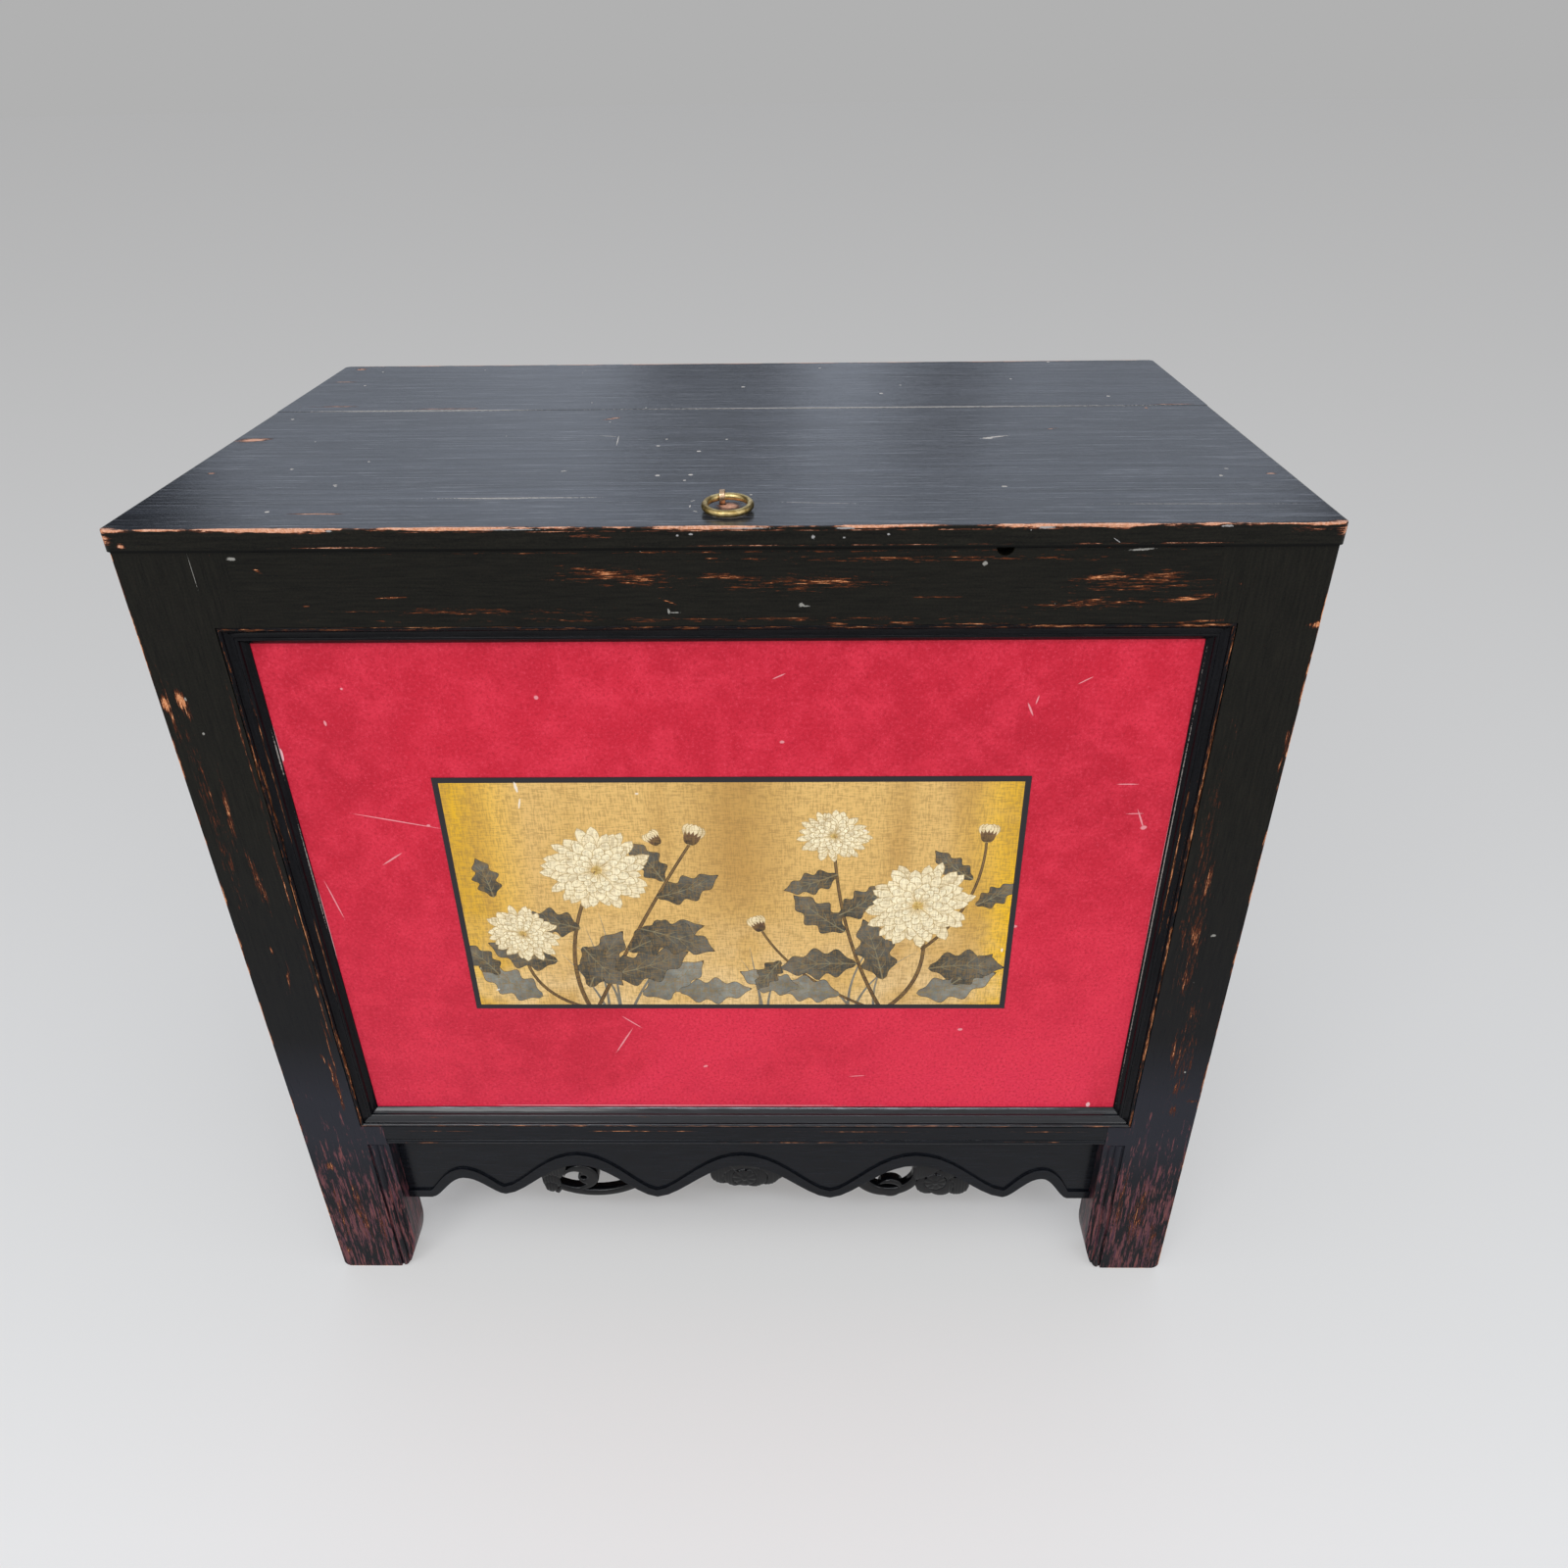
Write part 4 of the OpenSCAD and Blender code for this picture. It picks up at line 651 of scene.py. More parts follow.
def draw_picture():
    """Composes two sprays of ray flowers over grass, one low on the left and one high on the right."""
    draw = random.Random(11)
    for root, lengths in ((-118, (88, 120, 102, 134, 76)), (128, (92, 70, 118, 84)), (22, (60, 78, 52))):
        for k, length in enumerate(lengths):
            ribbon(curve((root + draw.uniform(-20, 20), -134), draw.uniform(62, 118), length,
                         draw.uniform(-0.5, 0.5), 15), 1.5 * np.linspace(1, 0.05, 15), GREY_LEAF, GREY_TIP)
    stem((-150, -134), (-176, -60), (-128, 35), 2.0)
    stem((-156, -134), (-216, -110), (-206, -40), 1.7)
    stem((-142, -134), (-84, -10), (-40, 64), 1.7)
    stem((148, -134), (196, -90), (172, -7), 2.0)
    stem((140, -134), (96, -40), (92, 73), 1.7)
    stem((178, -60), (232, -10), (231, 68), 1.4)
    stem((128, -134), (52, -96), (24, -36), 1.4)
    for x, z, turn, length, width, bend, pale in (
            (-96, -118, 24, 62, 30, 0.2, 1), (-196, -120, 152, 58, 28, -0.1, 1),
            (-60, -112, -4, 60, 26, 0.1, 1), (-236, -92, 118, 40, 20, 0.2, 0),
            (-148, -108, 70, 66, 32, -0.15, 0), (-128, -92, 12, 70, 34, 0.15, 0),
            (-176, -74, 172, 56, 28, -0.2, 0), (-106, -62, 34, 66, 30, -0.2, 0),
            (-92, -34, -16, 62, 30, -0.1, 0), (-150, -34, 158, 48, 26, 0.2, 0),
            (-74, 4, 12, 52, 24, 0.2, 0), (-66, 22, 118, 44, 22, 0.1, 0), (-228, 4, 98, 38, 20, 0.1, 0),
            (-150, -56, -60, 50, 26, 0.1, 0), (100, -118, 164, 60, 26, 0.1, 1),
            (176, -116, 8, 66, 28, 0.2, 1), (60, -108, 172, 50, 24, -0.2, 1), (210, -104, 40, 44, 22, 0.1, 0),
            (142, -98, 100, 64, 30, 0.1, 0), (116, -78, 176, 62, 30, 0.15, 0),
            (186, -84, 12, 60, 30, -0.2, 0), (104, -38, 144, 54, 26, -0.1, 0),
            (98, -18, 28, 46, 24, 0.2, 0), (226, -6, 24, 36, 18, 0.2, 0),
            (222, 24, 150, 40, 18, -0.2, 0), (96, 30, 206, 44, 20, -0.1, 0), (42, -74, 232, 36, 18, 0.1, 0)):
        leaf(x, z, turn, 1.22 * length, 1.4 * width, bend, *((GREY_LEAF, GREY_TIP) if pale else ()))
    bud(-40, 64, 72, 24, 3)
    bud(231, 66, 84, 22, 4)
    bud(24, -37, 112, 20, 5)
    bud(-68, 64, 126, 18, 6)
    bloom(-206, -40, 36, 60, 0.86, 21)
    bloom(-128, 35, 51, 100, 0.88, 22)
    bloom(92, 73, 33, 80, 0.82, 23)
    bloom(172, -7, 52, 120, 0.9, 24)


def picture_sheet(material):
    """Cuts the pile of shapes into one flat sheet, keeps each piece's topmost paint, and closes the sheet
    with its thickness."""
    low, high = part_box("picture_sheet")
    half_x, half_z = (high.x - low.x) / 2 / MM, (high.z - low.z) / 2 / MM
    middle = (low + high) / 2
    draw_picture()
    sheet = np.array(((-1, -1), (1, -1), (1, 1), (-1, 1))) * (half_x, half_z)
    shapes = [sheet] + [row[0] for row in pile]
    points = np.vstack(shapes)
    starts = np.cumsum([0] + [len(s) for s in shapes])
    rings = [list(range(a, b)) for a, b in zip(starts[:-1], starts[1:])]
    verts, _, faces, _, _, sources = delaunay_2d_cdt([Vector(p) for p in points], [], rings, 1, 1e-4)
    bm = bmesh.new()
    made = [bm.verts.new((middle.x + v.x * MM, low.y, middle.z + v.y * MM)) for v in verts]
    layer = bm.loops.layers.float_color.new("paint")
    for corners, source in zip(faces, sources):
        if 0 not in source:
            continue
        face = bm.faces.new([made[i] for i in corners])
        top = max(source)
        _, near, far, a, b = pile[top - 1] if top else (None, (0, 0, 0, 0), (0, 0, 0, 0), (0, 0), (1, 0))
        way = np.array(b) - np.array(a)
        for loop, i in zip(face.loops, corners):
            t = min(1, max(0, float((np.array(verts[i]) - a) @ way / max(way @ way, 1e-9))))
            loop[layer] = [p + (q - p) * t for p, q in zip(near, far)]
    bmesh.ops.delete(bm, geom=[v for v in bm.verts if not v.link_faces], context="VERTS")
    rim = [e for e in bm.edges if e.is_boundary]
    walls = bmesh.ops.extrude_edge_only(bm, edges=rim)["geom"]
    back = [v for v in walls if isinstance(v, bmesh.types.BMVert)]
    for v in back:
        v.co.y = high.y
    bmesh.ops.contextual_create(bm, geom=[e for e in walls if isinstance(e, bmesh.types.BMEdge)])
    bmesh.ops.recalc_face_normals(bm, faces=bm.faces)
    piece = as_object("picture_print", bm, material)
    settle(piece, "picture_sheet", "case")
    return piece


def grown(name, points, tree, values, smooth=38):
    """Runs a geometry tree on a set of points in metres and keeps the result as a plain piece. Values are
    given by the names of the tree's inputs."""
    mesh = bpy.data.meshes.new(name)
    mesh.from_pydata([tuple(p) for p in points], [], [])
    piece = bpy.data.objects.new(name, mesh)
    scene.collection.objects.link(piece)
    modifier = piece.modifiers.new(name, "NODES")
    modifier.node_group = tree
    for item in tree.interface.items_tree:
        if item.name in values:
            modifier[item.identifier] = values[item.name]
    done = piece.evaluated_get(bpy.context.evaluated_depsgraph_get())
    plain = bpy.data.meshes.new_from_object(done)
    piece.modifiers.clear()
    piece.data = plain
    bm = bmesh.new()
    bm.from_mesh(plain)
    bmesh.ops.remove_doubles(bm, verts=bm.verts, dist=0.001 * MM)
    bmesh.ops.recalc_face_normals(bm, faces=bm.faces)
    bm.to_mesh(plain)
    bm.free()
    plain.shade_smooth()
    plain.set_sharp_from_angle(angle=math.radians(smooth))
    return piece


def name_sockets(tree, **kinds):
    """Names the tree's inputs, which show spaces for underscores, and gives it a geometry output."""
    for name, kind in kinds.items():
        tree.interface.new_socket(name.replace("_", " "), in_out="INPUT", socket_type="NodeSocket" + kind)
    tree.interface.new_socket("Geometry", in_out="OUTPUT", socket_type="NodeSocketGeometry")


def fastener_tree():
    """Rows of screws or nails: a countersunk or flat head, with a slot if it has a width, and a pointed
    shank. The head's face is at the point and its shank goes down, or up where it is turned over."""
    tree = bpy.data.node_groups.new("rows of fasteners", "GeometryNodeTree")
    name_sockets(
        tree, Points="Geometry", Head_radius="Float", Head_height="Float", Neck_radius="Float",
        Shank_radius="Float", Length="Float", Slot="Float", Turned_over="Float", Finish="Material")
    given = add(tree, "NodeGroupInput").outputs
    under = add(tree, "ShaderNodeMath", {0: given["Head height"], 1: -1.0}, operation="MULTIPLY")
    head = add(tree, "MeshCone", {
        "Vertices": 32, "Radius Top": given["Head radius"], "Radius Bottom": given["Neck radius"],
        "Depth": given["Head height"]})
    head = add(tree, "Transform", {0: head, "Translation": add(tree, "ShaderNodeCombineXYZ", {2: under})})
    cut = add(tree, "ShaderNodeMath", {0: given["Head radius"], 1: 2.4}, operation="MULTIPLY")
    deep = add(tree, "ShaderNodeMath", {0: given["Head height"], 1: 0.9}, operation="MULTIPLY")
    slot = add(tree, "ShaderNodeCombineXYZ", {0: cut, 1: given["Slot"], 2: deep})
    slot = add(tree, "MeshCube", {"Size": slot})
    head = add(tree, "MeshBoolean", {"Mesh 1": head, "Mesh 2": slot}, operation="DIFFERENCE", solver="EXACT")
    deeper = add(tree, "ShaderNodeMath", {0: given["Length"], 1: -1.0}, operation="MULTIPLY")
    shank = add(tree, "MeshCone", {
        "Vertices": 16, "Side Segments": 8, "Radius Top": given["Shank radius"], "Radius Bottom": 0.0004,
        "Depth": add(tree, "ShaderNodeMath", {0: given["Length"], 1: under}, operation="ADD")})
    shank = add(tree, "Transform", {0: shank, "Translation": add(tree, "ShaderNodeCombineXYZ", {2: deeper})})
    whole = add(tree, "JoinGeometry")
    tree.links.new(head.outputs[0], whole.inputs[0])
    tree.links.new(shank.outputs[0], whole.inputs[0])
    turn = add(tree, "ShaderNodeMath", {0: given["Turned over"], 1: math.pi}, operation="MULTIPLY")
    # Each slot ends up at its own angle, as hand-driven screws do
    spin = add(tree, "FunctionNodeRandomValue", {"Min": (0, 0, 0), "Max": (0, 0, 3.1), "Seed": 7},
               data_type="FLOAT_VECTOR")
    whole = add(tree, "Transform", {0: whole, "Rotation": add(tree, "ShaderNodeCombineXYZ", {0: turn})})
    spin = add(tree, "FunctionNodeEulerToRotation", {0: spin})
    rows = add(tree, "InstanceOnPoints", {"Points": given["Points"], "Instance": whole, "Rotation": spin})
    rows = add(tree, "RealizeInstances", {0: rows})
    rows = add(tree, "SetMaterial", {0: rows, "Material": given["Finish"]})
    add(tree, "NodeGroupOutput", {0: rows})
    return tree


def ring_tree():
    """The pull: a round bar bent to a ring along its path, slightly uneven from casting and filing."""
    tree = bpy.data.node_groups.new("ring pull", "GeometryNodeTree")
    name_sockets(
        tree, Ring_radius="Float", Bar_radius="Float", Unevenness="Float", Place="Vector", Tilt="Vector",
        Finish="Material")
    given = add(tree, "NodeGroupInput").outputs
    path = add(tree, "CurvePrimitiveCircle", {"Resolution": 144, "Radius": given["Ring radius"]})
    bar = add(tree, "CurvePrimitiveCircle", {"Resolution": 32, "Radius": given["Bar radius"]})
    ring = add(tree, "CurveToMesh", {0: path, 1: bar})
    dents = add(tree, "ShaderNodeTexNoise", {"Scale": 160.0, "Detail": 2.0})
    dents = add(tree, "ShaderNodeMath", {0: dents, 1: 0.62}, operation="SUBTRACT")
    dents = add(tree, "ShaderNodeMath", {0: dents, 1: given["Unevenness"]}, operation="MULTIPLY")
    shift = add(tree, "InputNormal")
    shift = add(tree, "ShaderNodeVectorMath", {0: shift, "Scale": dents}, operation="SCALE")
    ring = add(tree, "SetPosition", {0: ring, "Offset": shift})
    ring = add(tree, "Transform", {0: ring, "Translation": given["Place"], "Rotation": given["Tilt"]})
    ring = add(tree, "RealizeInstances", {0: ring})
    ring = add(tree, "SetMaterial", {0: ring, "Material": given["Finish"]})
    add(tree, "NodeGroupOutput", {0: ring})
    return tree


def solids_of(node):
    """The boxes of a node's separate solids, as (lowest, highest) corners in metres."""
    bm = node_copy(node)
    left = set(bm.verts)
    boxes = []
    while left:
        queue, points = [left.pop()], []
        while queue:
            v = queue.pop()
            points.append(v.co)
            for e in v.link_edges:
                other = e.other_vert(v)
                if other in left:
                    left.remove(other)
                    queue.append(other)
        boxes.append((Vector(map(min, zip(*points))), Vector(map(max, zip(*points)))))
    bm.free()
    return sorted(boxes, key=lambda b: tuple(b[0]))


def carved(node, material, petals=(), ribs=()):
    """A carved piece: the CAD node's front outline filled with a fine net, which rises from the cut edges in
    rounded ridges. Petals are (x, z, radius, lift, lobes) discs, the later ones in front; ribs are
    (x0, x1, pitch) stretches with upright grooves. All are millimetres from the arch's middle and foot."""
    low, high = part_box(node)
    bm = node_copy(node)
    front = {f for f in bm.faces if f.normal.y < -0.99 and abs(f.calc_center_median().y - low.y) < 0.05 * MM}
    rim = [e for e in bm.edges if sum(f in front for f in e.link_faces) == 1]
    spots = sorted({v for e in rim for v in e.verts}, key=lambda v: v.index)
    number = {v: i for i, v in enumerate(spots)}
    outline = np.array([(v.co.x / MM, v.co.z / MM) for v in spots])
    sides = np.array([(number[e.verts[0]], number[e.verts[1]]) for e in rim])
    bm.free()
    a, b = outline[sides[:, 0]], outline[sides[:, 1]]

    def rim_distance(p):
        way = b - a
        t = np.clip(((p[:, None] - a) * way).sum(2) / np.maximum((way ** 2).sum(1), 1e-9), 0, 1)
        return np.linalg.norm(p[:, None] - (a + t[..., None] * way), axis=2).min(1)

    def inside(p):
        over = (a[:, 1] > p[:, None, 1]) != (b[:, 1] > p[:, None, 1])
        rise = np.where(b[:, 1] == a[:, 1], 1e-9, b[:, 1] - a[:, 1])
        cross = a[:, 0] + (p[:, None, 1] - a[:, 1]) / rise * (b[:, 0] - a[:, 0])
        return (over & (p[:, None, 0] < cross)).sum(1) % 2 == 1

    step = 0.95  # the net's mesh
    xs = np.arange(outline[:, 0].min(), outline[:, 0].max(), step)
    zs = np.arange(outline[:, 1].min(), outline[:, 1].max(), step * 0.87)
    net = np.array([(x + (k % 2) * step / 2, z) for k, z in enumerate(zs) for x in xs])
    net = net[inside(net)]
    net = net[rim_distance(net) > 0.45 * step]
    points, _, faces, _, _, _ = delaunay_2d_cdt(
        [Vector(p) for p in np.vstack((outline, net))], [tuple(map(int, s)) for s in sides], [], 0, 1e-4)
    flat = np.array([tuple(p) for p in points])
    corners = np.array(faces)
    corners = corners[inside(flat[corners].mean(1))]

    edge_width, edge_height = 3.6, 2.6  # the rounded ridge that rises from a cut edge
    reach = np.clip(rim_distance(flat) / edge_width, 0, 1)
    height = edge_height * np.sqrt(1 - (1 - reach) ** 2)
    x, z = flat[:, 0], flat[:, 1]
    for px, pz, radius, lift, lobes in petals:
        far = np.hypot(x - px, z - pz)
        round_off = np.sqrt(np.clip(1 - (far / radius) ** 2, 0, 1))
        turn = np.arctan2(z - pz, x - px)
        lobe = 0.75 * np.abs(np.cos(lobes / 2 * turn)) * np.clip(far / radius, 0, 1) if lobes else 0
        eye = 0.9 * np.sqrt(np.clip(1 - (far / (0.24 * radius)) ** 2, 0, 1)) if lobes else 0
        groove = 1.1 * np.exp(-((far - radius) / 0.8) ** 2)
        height = np.where(far < radius, lift + 1.5 * round_off + lobe + eye, height)
        height -= np.where(far >= radius, groove, 0)
        height = np.minimum(height, 0.6 + 5.5 * np.sqrt(reach))
    for x0, x1, pitch in ribs:
        height -= np.where((x > x0) & (x < x1), 0.7 * np.abs(np.cos(math.pi * (x - x0) / pitch)) ** 6, 0)
    face, proudest, deepest = low.y / MM, 1.6, 4
    depth = np.clip(face + 3.2 - height, face - proudest, face + deepest) * MM

    bm = bmesh.new()
    outer = [bm.verts.new((p[0] * MM, d, p[1] * MM)) for p, d in zip(flat, depth)]
    inner = [bm.verts.new((p[0] * MM, high.y, p[1] * MM)) for p in flat]
    count = {}
    for i, j, k in corners:
        bm.faces.new((outer[i], outer[j], outer[k]))
        bm.faces.new((inner[k], inner[j], inner[i]))
        for pair in ((i, j), (j, k), (k, i)):
            count.setdefault(tuple(sorted(pair)), []).append(pair)
    for pairs in count.values():
        if len(pairs) == 1:
            i, j = pairs[0]
            bm.faces.new((outer[j], outer[i], inner[i], inner[j]))
    bmesh.ops.delete(bm, geom=[v for v in bm.verts if not v.link_faces], context="VERTS")
    bmesh.ops.recalc_face_normals(bm, faces=bm.faces)
    piece = as_object(node + "_relief", bm, material, 50)
    mark_extent(piece, node, "-x +x -y +y -z +z")
    settle(piece, node, "case")
    return piece


# Camera, at the photograph's place and angle: its place in millimetres, its focal length and the picture's
# width in pixels, and the tangents from the middle of its view to the horizon and towards its lower edge
EYE = (62.2, -855.6, 1194.6)
FOCAL_PIXELS, PICTURE_PIXELS = 1176.93, 1600
HORIZON, NEAR_FLOOR = 0.617, 0.66
PITCH, YAW, ROLL = math.radians(31.67), math.radians(0.99), math.radians(0.69)
right = Vector((math.cos(YAW), math.sin(YAW), 0))
forward = Vector((-math.sin(YAW) * math.cos(PITCH), math.cos(YAW) * math.cos(PITCH), -math.sin(PITCH)))
down = forward.cross(right)
image_right = math.cos(ROLL) * right + math.sin(ROLL) * down
image_down = -math.sin(ROLL) * right + math.cos(ROLL) * down
camera = bpy.data.objects.new("camera", bpy.data.cameras.new("camera"))
camera.data.sensor_width = 36
camera.data.lens = FOCAL_PIXELS / PICTURE_PIXELS * camera.data.sensor_width
camera.matrix_world = Matrix.Translation(at(*EYE)) @ Matrix(
    (image_right, -image_down, -forward)).transposed().to_4x4()
scene.collection.objects.link(camera)
scene.camera = camera

# Finishes
SEAM = 881.4  # height of the seam between the case and the lid
NAMED_CHIPS = PALE_CHIPS + THIN_SCRATCHES
# The rails, posts and lid edge take a painted shade: a black band along the seam
lacquer_rail = black_lacquer(
    "black lacquer, rails", "X", [(RUBS, (), 0.62), (HAZE, (), 0.46)], NAMED_CHIPS, edge=(0.6, 1.6),
    under="#6A3417", seam_shade=(SEAM, 1.3))
lacquer_post = black_lacquer(
    "black lacquer, posts", "Z",
    [(RUBS, (), 0.6), (LEG_RUBS, (), 0.5), (LEFT_EDGE_LINES, (), 0.62), (HAZE, (), 0.42),
     (EDGE_LOSSES, (), 0.9)],
    NAMED_CHIPS, edge=(0.82, 2.0), under="#5E2B16", bare="#A85A2E", legs=True, seam_shade=(SEAM, 1.3))
# Painted reflection: the low rail and apron have a blue-black film, standing in for the blue sheen they show
lacquer_low = black_lacquer(
    "black lacquer, lower rail and apron", "X", [(LOWER_WEAR, (), 0.62)], PALE_CHIPS, edge=(0.6, 1.3),
    specular=0.17, gloss=0.22, dark="#040507", light="#181B22", under="#5A321C")
lacquer_carving = black_lacquer(
    "black lacquer, carving", "X", edge=(0.0, 1.0), specular=0.3, gloss=0.13, spread=0.04,
    raised=(18.2, 20.6, 0.4), dark="#030304", light="#0B0C0F", bare="#8A4A26")
lacquer_side = black_lacquer("black lacquer, sides", "Z", edge=(0.72, 2.2), streaks=0.5)
lacquer_panel = black_lacquer("black lacquer, side panels", "Z", edge=(0.72, 2.2), streaks=0.5, bare_to=457.2)
lacquer_side_rail = black_lacquer("black lacquer, side rails", "Y", edge=(0.72, 2.2), streaks=0.5)
TOP_STREAKS = [(-250, 816, 150, 0.9, 0), (180, 816.3, 210, 0.8, 0), (-300, 808, 70, 0.7, 0)]
lacquer_moulding = {
    place: black_lacquer(
        "black lacquer, moulding at the " + place, axis, [(marks, (), strength)], MOULDING_CHIPS_AND_HIGHLIGHT,
        edge=(0.3, 0.8), specular=shine, gloss=0.14, raised=(0.1, 1.0, 0.5), dark="#050507", light=light,
        under="#7A4526", bare="#A9653A")
    for place, axis, marks, strength, shine, light in (
        ("top", "X", TOP_STREAKS, 0.6, 0.08, "#1A1A1C"), ("bottom", "X", BEAD_WEAR, 0.64, 0.55, "#1D2027"),
        ("side", "Z", MOULDING_STREAKS, 0.66, 0.08, "#1A1A1D"))}
lacquer_lid = black_lacquer(
    "black lacquer, lid", "X",
    [([(-478, 890, 9, 9, 0, -2), (477, 892, 12, 8, 0, -2)],
      [(-461, 252, 24, 9, 8), (-455, 144, 6, 2.4, 0), (-457, 561, 9, 6, 0), (-457, 495, 18, 2.4, 0),
       (463, 123, 6, 2.2, 0), (-478, -1, 16, 5, 0), (476, -1, 14, 5, 0), (415, 350, 2.4, 3, 0)], 0.85),
     ((), [(-429, 381, 38, 3, 0), (-126, 323, 14, 3, 30), (-323, 32, 36, 2.6, 0),
           (306, 273, 9, 1.2, 20), (445, 364, 30, 2.4, 0), (-300, 368, 60, 2, 0)], 0.74),
     ((), [(5, 46, 13, 14, 0)], 0.88)],
    top_chips=[
        (-330, 360, 152, 3.2, 0), (150, 360, 332, 3.0, 0), (-170, 69.5, 80, 1.3, 0),
        (-190, 66, 40, 0.35, 1), (76, 52, 42, 0.4, -5), (378, 43.5, 88, 0.5, -1), (-121, 257, 14, 0.6, -12),
        (-110, 240, 0.7, 20, 4), (245, 244, 17, 2.2, 20), (239, 240, 6, 3, 0), (-388, 155, 2, 2, 0),
        (-333, 108, 2.4, 1.6, 0), (-326, 177, 1.6, 1.6, 0), (-144, 144, 4, 1.2, 20), (-70, 222, 2, 3, 30),
        (22, 74, 1.6, 1.6, 0), (232, 92, 3.2, 2.4, 0), (419, 118, 1.8, 2.4, 0), (430, 138, 2.4, 1.2, 0),
        (-25, 59, 3, 0.8, 40), (-26, 46, 0.8, 4, 0), (-21, 33, 3, 0.8, -40)],
    edge=(1.3, 2.6), specular=0.7, gloss=0.125, spread=0.06, dark="#030405", light="#101216", under="#74412C",
    bare="#C07E5C", fresh="#E9BBA0", chip="#C2BBB2", scuffs_and_sheen=0.8, brush=0.2, swell=0.1, dust=0.085)
lacquer_rim = black_lacquer(
    "black lacquer, lid edge", "X",
    [([(-478, 892, 9, 8, 0, -2), (477, 894, 12, 6, 0, -2), (-465, 887, 4.5, 4, 0, -3)], (), 0.8),
     ([(-300, 884.6, 120, 0.7, 0, -3), (60, 884.6, 200, 0.7, 0, -3), (330, 884.6, 140, 0.8, 0, -3),
       (-100, 893, 26, 2.5, 0, -3), (455, 895, 26, 3, 0, -3), (0, 896.6, 500, 0.8, 0, -3)], (), 0.6)],
    [(72, 891, 1.6, 2.4, 0, -3), (-32, 893, 1.3, 1.0, 0, -3), (-22, 894, 1.8, 1.0, 0, -3),
     (96, 890.5, 1.5, 0.9, 0, -3), (130, 893, 1.4, 1.1, 0, -3), (305, 887, 4, 0.4, -35, -3),
     (250, 897.6, 8, 1.2, 0, -3), (97, 898, 9, 1.0, 0, -3), (-300, 898, 3, 1, 0, -3),
     (387, 898, 6, 1, 0, -3), (-160, 898.4, 30, 0.6, 0, -3), (20, 898.4, 24, 0.6, 0, -3)],
    edge=(1.25, 3.2), bare="#B8744E", fresh="#DFAE92", chip="#9C9A98", under="#6E3B26", seam_shade=(SEAM, 1.9))
red = red_lacquer()
brass = aged_brass("aged brass, cast", "#A0864E", "#E2CB90")
strap = aged_brass("aged brass, rolled strip", "#A07C5E", "#DDBE9C")
iron = forged_iron()
timber = {axis: bare_timber("bare elm, grain along " + axis, axis) for axis in "XYZ"}
bamboo = bare_timber("split bamboo", "Y", "#8A6B3C", "#C0A166")

# Case
for side in ("left", "right"):
    inward = "+x" if side == "left" else "-x"
    dress("post_front_" + side, "case", lacquer_post, 1.4, covered=inward + " +z")
    dress("post_rear_" + side, "case", lacquer_side, 1.4, covered=inward + " +z")
    dress("side_top_rail_" + side, "case", lacquer_side_rail, covered="-y +y")
    dress("side_bottom_rail_" + side, "case", lacquer_side_rail, covered="-y +y")
    dress("side_panel_" + side, "case", lacquer_panel, 0.5, covered="-x +x -y +y -z +z")
    dress("floor_batten_" + side, "case", timber["Y"])
    dress("lid_batten_" + side, "lid", timber["Y"], 1.2)
    dress("moulding_" + side, "case", lacquer_moulding["side"], 0.25)
    dress("hinge_case_leaf_" + side, "case", brass, 0.2)
    dress("hinge_lid_leaf_" + side, "lid", brass, 0.2)
    dress("hinge_pin_" + side, "case", brass, 0.3)
dress("front_top_rail", "case", lacquer_rail, 0.9, covered="-x +x")
dress("front_bottom_rail", "case", lacquer_low, 0.7, covered="-x +x")
dress("rear_top_rail", "case", lacquer_rail, covered="-x +x")
dress("rear_bottom_rail", "case", lacquer_low, covered="-x +x")
dress("moulding_top", "case", lacquer_moulding["top"], 0.25)
dress("moulding_bottom", "case", lacquer_moulding["bottom"], 0.25)
dress("front_panel", "case", red, 0.3)
dress("rail_pegs", "case", bamboo, 0.4)
for place in ("left", "middle", "right"):
    dress("back_board_" + place, "case", timber["Z"], 0.6)
for place in ("front", "middle", "rear"):
    dress("floor_board_" + place, "case", timber["X"], 0.6)
dress("apron", "case", lacquer_low, 0.8)
ARCH = 180.81  # distance of the outer arches from the middle
FOOT = 100  # height of the apron's lowest line
for node, middle, petals, ribs in (
        ("carving_left", -ARCH, ((-42, 20, 11, 1.6, 0), (-44, 12, 8, 2.0, 0)), ((-54, -33, 3.4),)),
        ("carving_middle", 0, (
            (-27, 33, 15, 1.4, 0), (30, 34, 11, 1.2, 0), (22, 31, 14.5, 1.6, 0), (-14, 28, 13, 1.8, 0),
            (8, 29, 15, 2.0, 0), (-3, 30, 13, 2.6, 9)), ((-40, -17, 3.6), (12, 40, 3.6))),
        ("carving_right", ARCH, (
            (22, 36, 16, 1.4, 0), (42, 30, 12, 1.4, 0), (57, 15, 14.5, 1.6, 0), (24, 16, 14, 1.8, 0),
            (39, 14, 14.5, 2.0, 0), (32, 23, 12, 2.6, 9)), ((46, 72, 3.4), (8, 19, 3.4)))):
    petals = [(middle + x, FOOT + z, radius, lift, lobes) for x, z, radius, lift, lobes in petals]
    ribs = [(middle + x0, middle + x1, pitch) for x0, x1, pitch in ribs]
    carved(node, lacquer_carving, petals, ribs)
rows = fastener_tree()
screw = {"Head radius": 0.003, "Head height": 0.0015, "Neck radius": 0.0015, "Shank radius": 0.0015,
         "Length": 0.011, "Slot": 0.0008, "Finish": brass}


def screw_row(node, body, turned_over):
    """The screws of the hinge leaves on a body, their heads up, or down where they are turned over."""
    faces = [((a + b) / 2, a if turned_over else b) for a, b in solids_of(node)]
    heads = [(middle.x, middle.y, face.z) for middle, face in faces]
    settle(grown(body + "_screws", heads, rows, {**screw, "Turned over": turned_over}), node, body)


screw_row("hinge_case_screws", "case", 0.0)

